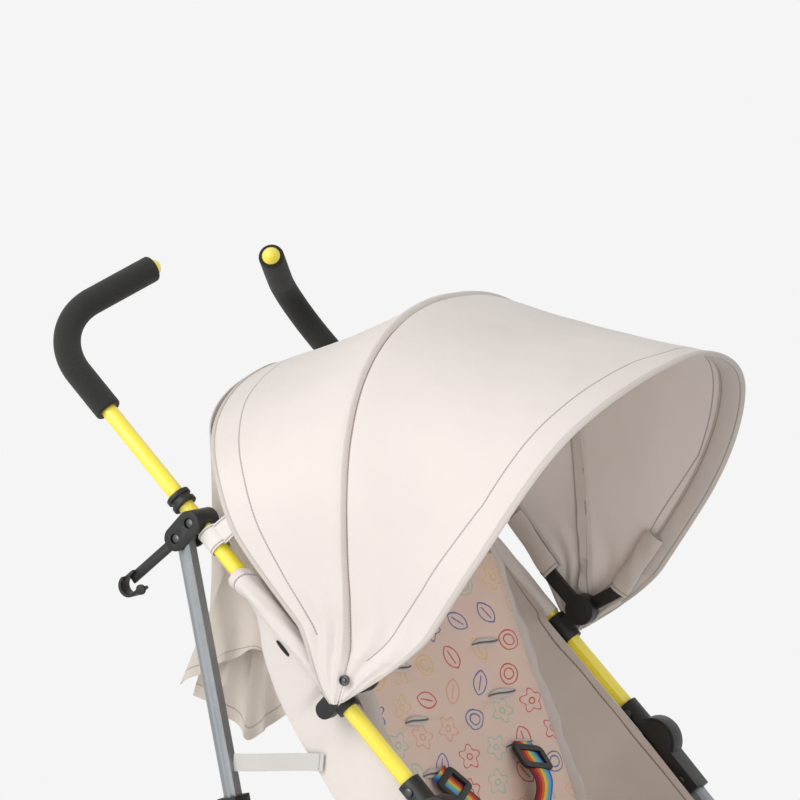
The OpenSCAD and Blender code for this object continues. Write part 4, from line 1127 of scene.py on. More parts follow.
@dataclass
class HardParts:
    """Tubes, legs, mouldings, wheels and pins: the rigid pieces, by the rounding of their edges in millimetres."""

    front_axle: Pair = (-0.339835, 0.065)
    rear_axle: Pair = (0.114216, 0.065)
    mouldings: dict[str, float] = field(default_factory=lambda: {
        "tube_collar": 0.8, "upper_hub": 1.4, "knuckle": 1.6, "caster_socket": 1.6, "caster_fork": 1.8,
        "rear_housing": 1.6, "brake_pedal": 1.0, "leg_slider": 0.9, "hood_clip": 1.1, "hood_arm": 0.9})
    tube_edge: float = 0.5
    cap_edge: float = 0.8
    grip_edge: float = 3.0
    leg_edge: float = 0.4
    pin_edge: float = 0.5
    wheel_edge: float = 1.6
    brace_edge: float = 0.6
    hook_edge: float = 0.7
    cap_rise: float = 5.0
    cap_gain: float = 0.75
    cap_swell: float = 0.1

    def cap(self, side: Side) -> None:
        """Dresses a grip's end cap, its dome a little fuller than the solid's.

        Args:
            side: its side.
        """
        obj = Bench.eased(f"grip_cap_{side.word}", self.cap_edge, Finish.YELLOW, "yellow_paint")
        axis = -np.array(max(obj.data.polygons, key=lambda face: face.area).normal)
        spots = Bench.spots(obj)
        off = spots - spots.mean(axis=0)
        far = off @ axis
        rise = np.maximum(far - (far.max() - self.cap_rise * MM), 0) * self.cap_gain
        Bench.move(obj, spots + (off - far[:, None] * axis) * self.cap_swell + rise[:, None] * axis)

    def build(self) -> None:
        """Dresses every rigid node."""
        for side in Side:
            for name, width in self.mouldings.items():
                Bench.eased(f"{name}_{side.word}", width, Finish.PLASTIC, "black_plastic")
            Bench.eased(f"push_tube_{side.word}", self.tube_edge, Finish.YELLOW, "yellow_paint")
            self.cap(side)
            Bench.eased(f"grip_{side.word}", self.grip_edge, Finish.FOAM, "foam", 4)
            for name in ("front_leg", "rear_leg"):
                Bench.eased(f"{name}_{side.word}", self.leg_edge, Finish.LEG, "grey_leg")
            Bench.eased(f"frame_rivets_{side.word}", self.pin_edge, Finish.RIVET, "steel")
            for name in ("caster_pins", "rear_pins"):
                Bench.eased(f"{name}_{side.word}", self.pin_edge, Finish.STEEL, "steel")
            for end, axle in (("front", self.front_axle), ("rear", self.rear_axle)):
                wheel = bpy.data.materials.get(f"{end}_wheel") or WheelFinish(f"{end}_wheel", *axle).make()
                Bench.eased(f"{end}_wheels_{side.word}", self.wheel_edge, wheel, "wheel", 3)
        for name in ("brace_bar_a", "brace_bar_b"):
            Bench.eased(name, self.brace_edge, Finish.BRACE, "grey_leg")
        Bench.eased("brace_rivet", self.pin_edge, Finish.STEEL, "steel")
        Bench.eased("transport_hook", self.hook_edge, Finish.PLASTIC, "black_plastic")
        LOG.info("hard parts dressed")


@dataclass(frozen=True)
class Casing:
    """A sewn channel for one bow: its place v on the hood, width, depth, and nearness to a foot where it ends."""

    name: str
    middle: float
    width: float
    bulge: float
    body: str
    node: str
    low: float = 0.06


@dataclass(frozen=True)
class ArmSleeve:
    """The flat sleeve over a hood arm's tip: start and direction in Y and Z, and X at its open end and at the cloth."""

    name: str
    start: Pair
    ahead: Pair
    x: Pair
    body: str


@dataclass
class Hood:
    """The hood: three gores of one continuous sheet, their casings, rims, loop bands and snaps, in millimetres.

    Rows of three numbers are for the rear rim, the middle seam and the front rim.
    """

    lines: FrameLines
    halves: Triple = (252.0, 239.0, 236.0)
    reaches: Triple = (350.0, 352.0, 380.0)
    angles: Triple = (48.6, 87.0, 124.2)
    across: Triple = (1.39, 0.873, 1.25)
    upward: Triple = (0.465, 0.485, 0.423)
    feet: tuple[Pair, Pair, Pair] = ((0.5, -0.08), (0.2, -0.66), (-1.9, -1.13))
    clip: Pair = (47.66, 646.06)
    disc: float = 16.0
    foot_half: float = 233.0
    spare: Triple = (9.0, 0.0, 9.0)
    spare_from: Triple = (0.18, 0.2, 0.16)
    spare_to: Triple = (0.28, 0.3, 0.34)
    turn: float = 0.07
    columns: int = 128
    tips: int = 18
    tip: Triple = (-238.0, 70.0, 619.6)
    tip_slant: float = 10.5
    tip_bow: float = 1.6
    gather: Triple = (-241.0, 89.0, 643.0)
    gather_slant: float = 71.0
    gather_bow: float = 10.0
    gather_pull: float = 0.62
    tip_lead: Pair = (30.0, 16.0)
    piping: Triple = (3.4, -2.2, 2.8)
    ditch: Triple = (4.2, 2.6, 1.5)
    sink: float = 4.2
    folds: Triple = (2.4, 62.0, 42.0)
    hem: float = 28.0
    front_stitch: Table = ((0, 0.12, 0.22, 0.27, 0.36, 0.44, 0.47, 0.5),
                           (0.845, 0.845, 0.91, 0.915, 0.925, 0.94, 0.955, 0.955))
    rear_stitch: Table = ((0, 0.05, 0.12, 0.25, 0.38, 0.5), (0.2, 0.155, 0.125, 0.105, 0.085, 0.085))
    cloth_width: float = 0.95
    casings: Sequence[Casing] = (
        Casing("hood_rear_casing", 0.0, 26, 2.6, "right_frame", "hood_rear_bow"),
        Casing("hood_mid_casing", 0.5, 15, 3.4, "hood_middle", "hood_mid_bow", 0.026),
        Casing("hood_front_casing", 1.0, 29, 3.0, "hood_front", "hood_front_bow"))
    sleeves: Sequence[ArmSleeve] = (
        ArmSleeve("hood_rear_sleeve", (87.0, 688.6), (0.69, 0.724), (215.7, 226.0), "right_frame"),
        ArmSleeve("hood_front_sleeve", (3.0, 674.0), (-0.562, 0.827), (222.6, 223.5), "hood_front"))
    sleeve_overlap: float = 8.0
    sleeve_run: float = 74.0
    sleeve_half: float = 10.8
    sleeve_depth: float = 5.2
    loop_at: float = 212.0
    loop_wide: float = 22.0
    loop_radius: float = 9.8
    tab_place: Pair = (0.045, 0.21)
    snap_radius: float = 5.2
    snap_depth: float = 3.4
    snap_at: Triple = (0.2405, 0.0528, 0.6440)

    def edge(self, k: int, u: Points) -> Points:
        """Gives a point of one of the three edges.

        Args:
            k: 0 for the rear rim, 1 for the middle seam, 2 for the front rim.
            u: the place along the edge, from the right foot at 0 to the left foot at 1.

        Returns:
            The point.
        """
        w = 1 - np.abs(2 * u - 1)
        a = np.radians(90 * w * w)
        co, si = np.maximum(np.cos(a), 0), np.sin(a)
        x = self.halves[k] * co ** self.across[k] - (self.halves[k] - self.foot_half) * (1 - si) ** 4
        h = self.reaches[k] * si ** self.upward[k]
        t = math.radians(self.angles[k])
        past = self.spare[k] * (1 - ease(self.spare_from[k], self.spare_to[k], w / 2)) * (1 if k == 0 else -1)
        return np.stack([np.where(u < 0.5, -x, x),
                         self.clip[0] + self.feet[k][0] * self.disc + h * math.cos(t) + past * math.sin(t),
                         self.clip[1] + self.feet[k][1] * self.disc + h * math.sin(t) - past * math.cos(t)], -1)

    def at(self, v: Points, u: Points) -> Points:
        """Gives a point of the plain hood.

        Args:
            v: the place from the rear rim at 0 over the middle seam to the front rim at 1.
            u: the place along the edges.

        Returns:
            The point.
        """
        v, u = np.broadcast_arrays(np.asarray(v, float), np.asarray(u, float))
        a, b, c = self.edge(0, u), self.edge(1, u), self.edge(2, u)
        t = v[..., None]
        return np.where(t <= 0.5, a * (1 - 2 * t) + b * 2 * t, b * (2 - 2 * t) + c * (2 * t - 1))

    def normal(self, v: Points, u: Points) -> Points:
        """The outward unit normal of the plain hood."""
        e = 0.004
        return unit(np.cross(self.at(v + e, u) - self.at(v - e, u), self.at(v, u + e) - self.at(v, u - e)))

    def tip_at(self, v: Points, t: Points) -> Points:
        """Gives a point of the gathered tip over the right clip.

        Args:
            v: the place from the rear rim to the front rim.
            t: the place from the plain hood at 0 to the lowest point at 1.

        Returns:
            The point.
        """
        start = self.at(v, np.full_like(v, self.turn))
        lead = unit(start - self.at(v, np.full_like(v, self.turn + 0.01)))
        lead *= (self.tip_lead[0] - self.tip_lead[1] * (1 - v) ** 4)[..., None]
        end = np.stack([np.full_like(v, self.tip[0]), self.tip[1] - self.tip_slant * v,
                        self.tip[2] + self.tip_bow * (2 * v - 1) ** 2], -1)
        back = np.stack([np.full_like(v, self.gather[0]),
                         self.gather[1] - self.gather_slant * v + self.gather_bow * (1 - v) ** 3,
                         np.full_like(v, self.gather[2])], -1)
        k = t[..., None]
        inner, outer = start + lead, end + (back - end) * self.gather_pull
        return start * (1 - k) ** 3 + 3 * inner * k * (1 - k) ** 2 + 3 * outer * k ** 2 * (1 - k) + end * k ** 3

    def plain(self, v: Points) -> tuple[Points, Points]:
        """Works out the plain hood with both tips.

        Args:
            v: the rows' places.

        Returns:
            The grid of points, and each column's nearness to a foot from 0 to 0.5.
        """
        u = np.linspace(self.turn, 1 - self.turn, self.columns + 1)
        t = np.linspace(0, 1, self.tips + 1)[1:]
        right = self.tip_at(*grid(v, t))
        foot = self.turn * (1 - t)
        middle = self.at(v[:, None], u[None, :])
        points = np.concatenate([right[:, ::-1], middle, right * np.array([-1, 1, 1])], axis=1)
        return points, np.concatenate([foot[::-1], np.minimum(u, 1 - u), foot])

    @staticmethod
    def rows() -> Points:
        """Places the rows closer beside the rims and the middle seam.

        Returns:
            The rows' places v.
        """
        seam = [0.475, 0.484, 0.489, 0.493, 0.4955, 0.4975, 0.5,
                0.5025, 0.505, 0.5075, 0.51, 0.513, 0.517, 0.523, 0.533]
        rims, cuts = [0, 0.003, 0.008, 0.99, 0.996, 1], [1 / 3, 2 / 3]
        gores = np.linspace(0.02, 0.46, 22), np.linspace(0.55, 0.98, 22)
        return np.unique(np.concatenate([rims, *gores, seam, cuts]))

    @cached_property
    def cloth(self) -> tuple[Points, Points, Points, Points]:
        """Works out the finished cloth.

        Returns:
            The rows' places v, the points, their normals and their distances from the hems.
        """
        v = self.rows()
        flat, near = self.plain(v)
        run, side = run_along(flat, 0), run_along(flat, 1)
        seam = run - run[np.argmin(np.abs(v - 0.5))]
        foot = np.minimum(side, side[:, -1:] - side)
        points = flat + outward(flat) * self.lift(flat, v, seam, foot)[..., None]
        return v, points, outward(points), self.stitching(v, near, run, seam)

    def lift(self, flat: Points, v: Points, seam: Points, foot: Points) -> Points:
        """Works out how far the sewn cloth stands off the plain hood.

        Args:
            flat: the points of the plain hood.
            v: the rows' places.
            seam: each point's distance in front of the middle seam.
            foot: each point's distance from the nearer foot.

        Returns:
            The heights.
        """
        vv = np.broadcast_to(v[:, None], foot.shape)
        away = ease(90, 220, foot)
        span = np.where(vv <= 0.5, vv * 2, (vv - 0.5) * 2)
        lift = self.piping[0] * bell(seam, *self.piping[1:]) - self.ditch[0] * bell(seam, *self.ditch[1:])
        lift *= 0.3 + 0.7 * ease(10, 90, foot)
        lift -= away * self.sink * np.sin(np.pi * span) ** 1.5 * np.where(vv <= 0.5, 0.8, 1.0)
        swing = 5.2 * vv + 0.22 * np.sin(foot / 17)
        lift += self.folds[0] * bell(foot, *self.folds[1:]) * np.sin(TURN * swing) * np.sin(np.pi * vv) ** 0.5
        lift += ripple(flat, (0.017, 1.3), (0.045, 0.6)) * away * (0.35 + 0.65 * np.sin(np.pi * span))
        return lift

    def stitching(self, v: Points, near: Points, run: Points, seam: Points) -> Points:
        """Works out the distances from the hems that place the hood's stitches.

        Args:
            v: the rows' places.
            near: each column's nearness to a foot.
            run: each point's distance from the rear rim.
            seam: each point's distance in front of the middle seam.

        Returns:
            The distances: the hem's own on both stitched hems, more beside the seam, and far off at the tips. Beside
                the seam they put the second stitch row into the ditch, where its darker line is painted shadow of the
                crease.
        """
        front, rear = (np.array([np.interp(place, v, run[:, j]) for j, place in enumerate(np.interp(near, *line))])
                       for line in (self.front_stitch, self.rear_stitch))
        low = self.front_stitch[0][1]
        band = (run[-1] - front)[np.argmin(np.abs(near - low))]
        front = np.where(near < low, run[-1] - band, front)
        hem = np.minimum(np.minimum(self.hem + run - rear, self.hem + front - run), 40)
        hem = np.where(near[None, :] < np.where(v[:, None] < 0.5, 0.055, 0.042), 400, hem)
        # beside the seam, values of 41 to 51 bring the row at 50 into the ditch: a darker line there, painted shadow of
        # the crease by the piping
        return np.where(np.abs(seam - self.ditch[1]) < 5, 41 + 10 * bell(seam, *self.ditch[1:]), hem)

    def gores(self) -> None:
        """Makes the three gores, shaded as one sheet across their joins, and their bound rims."""
        v, points, out, hem = self.cloth
        cuts = (("hood_rear_cloth", 0.0, 1 / 3, "right_frame", "hood_rear_gore"),
                ("hood_mid_cloth", 1 / 3, 2 / 3, "hood_middle", "hood_mid_gore"),
                ("hood_front_cloth", 2 / 3, 1.0, "hood_front", "hood_front_gore"))
        for name, low, high, body, node in cuts:
            rows = np.where((v > low - 1e-6) & (v < high + 1e-6))[0]
            obj = Bench.sheet(name, points[rows], Finish.HOOD, "hood_cloth", hem[rows], thick=1.3, flip=True,
                              normals=out[rows])
            Bench.cloth(obj, self.cloth_width, "stretched", ["hood_rear_bow", "hood_mid_bow", "hood_front_bow"])
            Bench.folds(obj, body, Cover.HOOD)
            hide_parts(node)
        self.rim("hood_rear_rim", points[0], points[3] - points[0], out[0], "right_frame", 5.0)
        self.rim("hood_front_rim", points[-1], points[-4] - points[-1], out[-1], "hood_front", 6.5)

    def rim(self, name: str, edge: Points, inward: Points, out: Points, body: str, width: float) -> None:
        """Makes the folded tape that binds one rim.

        Args:
            name: the piece's name.
            edge: the points of the rim.
            inward: vectors from the rim into the cloth.
            out: outward normals along the rim.
            body: the body that carries it.
            width: the tape's width on the cloth, in millimetres.
        """
        slim = np.ones(len(edge))
        slim[:14] = np.linspace(0.35, 1, 14)
        slim[-14:] = np.linspace(1, 0.35, 14)
        section = ((1.0, 0.3), (0.94, 0.95), (0.5, 1.2), (0.12, 1.0), (-0.12, -0.4), (0.1, -1.9), (0.8, -2.2))
        rows = [edge + unit(inward) * (a * width * slim)[:, None] + out * b for a, b in section]
        stitch = np.array([[abs(a - 0.72) * width + 2.0 + (5 if b < 0 else 0)] for a, b in section])
        obj = Bench.sheet(name, np.array(rows), Finish.BINDING, "hood_cloth", stitch, thick=0.5,
                          flip=name == "hood_front_rim", angle=70)
        Bench.folds(obj, body, Cover.HOOD)

    def casing(self, made: Casing) -> None:
        """Makes the channel of one bow.

        Args:
            made: the channel's place and size.
        """
        v, cloth, out, _ = self.cloth
        keep = np.where(self.plain(v)[1] >= made.low)[0]
        cloth, out = cloth[:, keep], out[:, keep]
        t = np.linspace(-1, 1, 11)
        rim = cloth[0 if made.middle <= 0.5 else -1]
        length = np.linalg.norm(cloth[np.argmin(np.abs(v - 0.5))] - rim, axis=-1)
        half = np.minimum(made.width / 2, 0.3 * length)
        step = half / np.maximum(length, 1) * 0.5
        base = np.where(made.middle == 0.0, step, np.where(made.middle == 1.0, 1 - step, made.middle))
        vv = base[None, :] + t[:, None] * step[None, :] * 0.98
        deep = 2.0 + made.bulge * np.sqrt(np.maximum(1 - t ** 2, 0))
        points = np.empty(vv.shape + (3,))
        for j in range(len(keep)):
            for c in range(3):
                spot, tilt = np.interp(vv[:, j], v, cloth[:, j, c]), np.interp(vv[:, j], v, out[:, j, c])
                points[:, j, c] = spot - tilt * deep
        hem = (1 - np.abs(t))[:, None] * half[None, :]
        obj = Bench.sheet(made.name, points, Finish.RIM, "bow_plastic", hem, thick=0.8)
        Bench.folds(obj, made.body, Cover.HOOD)
        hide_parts(made.node)

    def arm_sleeve(self, side: Side, made: ArmSleeve) -> None:
        """Makes the sleeve of one arm.

        Args:
            side: its side.
            made: the sleeve's place and size.
        """
        k, turn = grid(np.linspace(0, 1, 24), np.linspace(0, TURN, 33))
        run = -self.sleeve_overlap + self.sleeve_run * k
        wide = self.sleeve_half * (1 + 0.05 * np.sin(9 * k))
        deep = self.sleeve_depth - 1.5 * k + 0.5 * np.sin(11 * k + 2 * turn)
        y = made.start[0] + made.ahead[0] * run - made.ahead[1] * wide * np.cos(turn)
        z = made.start[1] + made.ahead[1] * run + made.ahead[0] * wide * np.cos(turn)
        across = made.x[0] + (made.x[1] - made.x[0]) * ease(0, 1, k) + deep * np.sin(turn)
        points = np.stack([side.value * across, y, z], -1)
        obj = Bench.sheet(f"{made.name}_{side.word}", points, Finish.RIM, "hood_cloth",
                          run + self.sleeve_overlap, thick=0.9, flip=side is Side.RIGHT)
        Bench.folds(obj, made.body, Cover.HOOD)

    def loop_band(self, side: Side) -> None:
        """Makes the cloth loop round a push tube and the tab that ties the hood's rear rim to it.

        Args:
            side: its side.
        """
        half = self.loop_wide / 2
        rows = np.linspace(-half, half, 9)
        row, turn = grid(rows, np.linspace(0, TURN, 49))
        r = self.loop_radius + 4.5 * np.maximum(np.cos(turn - 0.4), 0) ** 3 + 0.35 * (np.abs(row) > half - 3)
        points = self.lines.along(self.loop_at + row + 2.2 * np.sin(turn), r * np.cos(turn),
                                  side.value * (self.lines.half + r * np.sin(turn)))
        obj = Bench.sheet(f"hood_loop_{side.word}", points, Finish.LOOP, "hood_cloth", half - np.abs(row),
                          flip=side is Side.RIGHT, angle=42)
        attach(obj, f"{side.word}_frame")
        row, k = grid(rows, np.linspace(0, 1, 21))
        start = self.lines.along(self.loop_at + row, 10.4, side.value * (self.lines.half + 5.0))
        u = self.tab_place[1] + 0.0012 * row
        v = np.full_like(u, self.tab_place[0])
        end = self.at(v, u) - 3.2 * self.normal(v, u)
        end[..., 0] = side.value * np.abs(end[..., 0])
        points = start * (1 - k[..., None]) + end * k[..., None]
        points[..., 0] += side.value * 2.0 * np.sin(np.pi * k)
        obj = Bench.sheet(f"hood_loop_tab_{side.word}", points, Finish.LOOP, "hood_cloth", half - np.abs(row),
                          flip=side is Side.LEFT, angle=42)
        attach(obj, f"{side.word}_frame")

    def snap(self, side: Side) -> None:
        """Makes the press stud that pins the hood's tip to its clip: a ring with a sunk middle and a button.

        Args:
            side: its side.
        """
        Bench.clear()
        bpy.ops.mesh.primitive_cylinder_add(vertices=32, radius=self.snap_radius * MM, depth=self.snap_depth * MM)
        obj = Bench.named(f"hood_snap_{side.word}")
        Bench.mode("EDIT")
        bpy.ops.mesh.select_mode(type="FACE")
        bpy.ops.mesh.select_all(action="DESELECT")
        Bench.mode("OBJECT")
        for polygon in obj.data.polygons:
            polygon.select = polygon.normal.z > 0.9
        Bench.mode("EDIT")
        for inset, rise in ((1.3, -2.2), (1.7, 1.7)):
            bpy.ops.mesh.inset(thickness=inset * MM)
            bpy.ops.mesh.extrude_region_move(TRANSFORM_OT_translate={"value": (0, 0, rise * MM)})
        Bench.mode("OBJECT")
        Bench.bevel(obj, 0.45, 2, 50)
        tilt = Matrix.Rotation(side.value * math.radians(90), 4, "Y")
        obj.data.transform(Matrix.Translation((side.value * self.snap_at[0], *self.snap_at[1:])) @ tilt)
        Bench.smooth(obj, 36)
        Bench.paint(obj, Finish.DARK_STEEL, "steel")
        Bench.folds(obj, "hood_middle", Cover.HOOD)

    def build(self) -> None:
        """Builds the whole hood."""
        self.gores()
        for casing in self.casings:
            self.casing(casing)
        for side in Side:
            self.loop_band(side)
            self.snap(side)
            for sleeve in self.sleeves:
                self.arm_sleeve(side, sleeve)
        LOG.info("hood built")


@dataclass
class Curtain:
    """The loose flap behind the seat back that hangs from the hood's rear rim, in millimetres."""

    hood: Hood
    lines: FrameLines
    half: float = 184.0
    drop: float = 178.0
    back: float = 26.0
    fold: float = 9.0
    folds: int = 5
    wrap: float = 0.62
    arch: float = 0.28
    clear: float = 1.0
    tie: Pair = (172 * 0.6, -51.0)
    hub: float = 238.0
    tuck: float = 16.0
    low_y: Table = ((0, 0.45, 1), (252, 210, 158))
    low_z: Table = ((0, 0.2, 0.45, 1), (595, 578, 557, 594))
    flap_half: float = 189.0
    flap_y: Pair = (271, 186)
    flap_z: Pair = (612, 655)
    cloth_width: float = 0.75

    def at(self, q: Points, r: Points) -> Points:
        """Gives a point of the curtain.

        Args:
            q: the place across, from -1 to 1; past the wrap it lies on a side.
            r: the place down, from 0 to 1.

        Returns:
            The point.
        """
        m, s = np.abs(q), np.where(q < 0, -1.0, 1.0)
        w = np.maximum(0, (m - self.wrap) / (1 - self.wrap))
        p = np.minimum(1, m / self.wrap)
        lean = math.radians(self.hood.angles[0])
        clear = self.clear * np.array([0, math.sin(lean), -math.cos(lean)])
        arch = self.hood.edge(0, 0.5 + s * p * self.arch) + clear
        foot = self.hood.edge(0, 0.5 + s * self.arch) + clear
        tie = self.lines.along(*self.tie)
        hub = self.lines.along(self.hub)
        top_side = np.stack([s * self.half, foot[..., 1] + w * (tie[1] - foot[..., 1]),
                             foot[..., 2] + w * (tie[2] - foot[..., 2])], -1)
        top_mid = np.stack([arch[..., 0] * (1 - p * p) + s * p * p * self.half, arch[..., 1], arch[..., 2]], -1)
        low_side = np.stack([s * (self.half - self.tuck * ease(0, 0.3, w)), np.interp(w, *self.low_y),
                             np.interp(w, *self.low_z)], -1)
        low_mid = np.stack([s * p * self.half, hub[1] + self.back * (1 + 1.2 * (1 - p * p)),
                            np.full_like(p, hub[2] - self.drop)], -1)
        flap = (w > 0)[..., None]
        top, low = np.where(flap, top_side, top_mid), np.where(flap, low_side, low_mid)
        fold = self.fold * r * np.sin(TURN * self.folds * m + math.radians(40))
        shift = np.stack([np.where(w > 0, -s * np.abs(fold), 0), np.where(w > 0, 0, fold), np.zeros_like(fold)], -1)
        return top + r[..., None] * (low - top) + shift

    def sew(self, name: str, points: Points, r: Points, flip: bool) -> Object:
        """Makes one layer with a stitched lower hem.

        Args:
            name: the piece's name.
            points: its rows from top to hem.
            r: each point's place down, from 0 to 1.
            flip: True where the grid's faces point inwards.

        Returns:
            The layer.
        """
        length = np.linalg.norm(points[-1] - points[0], axis=-1)
        return Bench.sheet(name, points, Finish.FLAP, "hood_cloth", (1 - r) * length[None, :], flip=flip)

    def flap(self, side: Side) -> None:
        """Makes the short outer layer on one side, its hem rising to the front.

        Args:
            side: its side.
        """
        r, w = grid(np.linspace(0, 1, 31), np.linspace(0, 1, 61))
        start = self.wrap + 0.0005
        top = self.at(side.value * (start + (1 - start) * w), np.zeros_like(r))
        low = np.stack([np.full_like(w, side.value * self.flap_half), np.interp(w, (0, 1), self.flap_y),
                        np.interp(w, (0, 1), self.flap_z)], -1)
        points = top + r[..., None] * (low - top)
        points[..., 0] += side.value * r * (3.0 * np.sin(9 * w + 1) + 4.0 * np.sin(np.pi * w))
        points[..., 1] += 3.0 * r * np.sin(14 * w)
        Bench.folds(self.sew(f"curtain_flap_{side.word}", points, r, side is Side.RIGHT))

    def build(self) -> None:
        """Builds the curtain with its hem and its outer flaps."""
        r, q = grid(np.linspace(0, 1, 41), np.linspace(-1, 1, 161))
        points = self.at(q, r)
        points[..., 1] += ripple(points, (0.02, 2.2)) * r
        obj = self.sew("curtain_cloth", points, r, False)
        Bench.cloth(obj, self.cloth_width, "hung", ["hood_rear_gore"])
        Bench.folds(obj)
        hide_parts("hood_curtain")
        for side in Side:
            self.flap(side)
        LOG.info("curtain built")


@dataclass
class Seat:
    """The seat: back and base, side wings, outer side panels, sleeves, seam binding and printed pad.

    Lengths are in millimetres. Rows 0 to 7 of the cloth are the back, 7 to 11 the base and 11 to 13 the apron.
    """

    lines: FrameLines
    corner: Pair = (-14.5, 351.96)
    back_len: float = 372.0
    recline: float = math.radians(21.9)
    base_len: float = 214.0
    rise: float = math.radians(9.0)
    apron_len: float = 110.0
    apron_drop: float = math.radians(80.0)
    bend: float = 16.0
    back_row: float = 7
    base_row: float = 11
    apron_row: float = 13
    half: float = 152.0
    curl: float = 10.0
    share: float = 0.72
    hem_top: float = 112.0
    hem_len: float = 452.0
    hem_half: float = 204.0
    hem_step: Pair = (35.0, 45.0)
    tube_gap: float = 9.2
    cloth_width: float = 0.62
    sleeve: Pair = (40.0, 172.0)
    sleeve_radius: float = 9.5
    ear_half: float = 200.0
    ear_end: float = -124.0
    ear_edge: Table = (
        (-124, -120, -112, -101, -86, -41.6, -15.5, 6.6, 21.7, 49.4, 71.5, 97.8, 111.4, 123.6, 138.7, 154.2, 172),
        (34, 52, 68, 79, 86, 85.6, 81.1, 77.7, 74.9, 69.1, 62.4, 51.6, 44, 34.5, 25.5, 22.6, 20))
    ear_width: float = 0.3
    strap_share: float = 0.59
    seam_width: float = 18.0
    seam_lift: float = 6.5
    slit_at: Triple = (208.6, 141.0, 661.4)
    slit_half: Pair = (9.2, 1.5)
    pad_ends: Pair = (-0.015, 0.98)
    pad_half: float = 0.985
    slot_rows: Triple = (78.0, 132.0, 186.0)
    slot_x: float = 84.0
    creases: Sequence[Triple] = ((0, 205, 0.18), (20, 150, -0.25), (-40, 250, 0.3), (30, 300, -0.15),
                                 (-20, 420, 0.1), (10, 500, -0.1))

    def sharp(self, d: Points) -> Points:
        """Gives a point of the middle line with sharp corners.

        Args:
            d: the distance from the top of the back.

        Returns:
            The point.
        """
        up = np.array([0, math.sin(self.recline), math.cos(self.recline)])
        corner = np.array([0, *self.corner])
        ahead = np.array([0, -math.cos(self.rise), math.sin(self.rise)])
        down = np.array([0, -math.cos(self.apron_drop), -math.sin(self.apron_drop)])
        d = d[..., None]
        back = corner + (self.back_len - d) * up
        base = corner + (d - self.back_len) * ahead
        apron = corner + self.base_len * ahead + (d - self.back_len - self.base_len) * down
        return np.where(d <= self.back_len, back, np.where(d <= self.back_len + self.base_len, base, apron))

    def line(self, d: Points) -> Points:
        """A point of the seat's middle line at a distance from the top of its back, its corners rounded."""
        steps = np.linspace(-self.bend, self.bend, 9)
        return sum(self.sharp(np.asarray(d, float) + k) for k in steps) / len(steps)

    def face(self, d: Points) -> Points:
        """The unit vector that points out of the seat towards its sitter, at a distance from the top of its back."""
        t = self.line(np.asarray(d, float) + 2) - self.line(np.asarray(d, float) - 2)
        return unit(np.stack([np.zeros_like(t[..., 0]), t[..., 2], -t[..., 1]], -1))

    def on(self, d: Points, x: Points, up: Points) -> Points:
        """A point over the seat: a distance down its middle line, a side offset and a height over its face."""
        return self.line(d) + sideways(x) + np.asarray(up, float)[..., None] * self.face(d)

    def down(self, i: Points) -> Points:
        """Gives the distance of a row from the top of the back.

        Args:
            i: the row.

        Returns:
            The distance.
        """
        back, base, apron = self.back_row, self.base_row, self.apron_row
        on_base = self.back_len + self.base_len * (i - back) / (base - back)
        on_apron = self.back_len + self.base_len + self.apron_len * (i - base) / (apron - base)
        return np.where(i <= back, self.back_len * i / back, np.where(i <= base, on_base, on_apron))

    def hem_line(self, e: Points) -> Points:
        """A point of the side hem, down the push tube and on down the front leg."""
        turn = self.hem_top - self.lines.knuckle
        return np.where((e <= turn)[..., None], self.lines.along(self.hem_top - e), self.lines.front_leg(e - turn))

    def hem_x(self, s: Points) -> Points:
        """How far out the hem lies at a place on the push tube."""
        return self.hem_half + (self.lines.half - self.tube_gap - self.hem_half) * ease(*self.hem_step, s)

    def cloth_at(self, i: Points, t: Points) -> Points:
        """Gives a point of the seat cloth.

        Args:
            i: the row.
            t: the place across, from -1 to 1; past the share it lies on a wing.

        Returns:
            The point.
        """
        i, t = np.broadcast_arrays(np.asarray(i, float), np.asarray(t, float))
        m, s = np.abs(t), np.where(t < 0, -1.0, 1.0)
        c = self.line(self.down(i))
        f = np.array([0, -math.cos(self.recline), math.sin(self.recline)])
        curl = self.curl * (1 - ease(10.5, 11.5, i))
        edge = c + sideways(s * self.half) + curl[..., None] * f
        e = self.hem_len * np.minimum(i, self.base_row) / self.base_row
        hem = self.hem_line(e) + sideways(s * self.hem_x(self.hem_top - e))
        low = ease(11.0, 11.4, i)[..., None]
        hem = hem * (1 - low) + (edge + sideways(s)) * low
        p = np.minimum(m / self.share, 1)
        w = np.maximum(0, (m - self.share) / (1 - self.share))
        inner = c + sideways(s * p * self.half) + (curl * p * p)[..., None] * f
        bow = np.stack([np.zeros_like(w), self.curl * np.sin(np.pi * w) * (1 - low[..., 0]), np.zeros_like(w)], -1)
        return np.where((w > 0)[..., None], edge + w[..., None] * (hem - edge) + bow, inner)

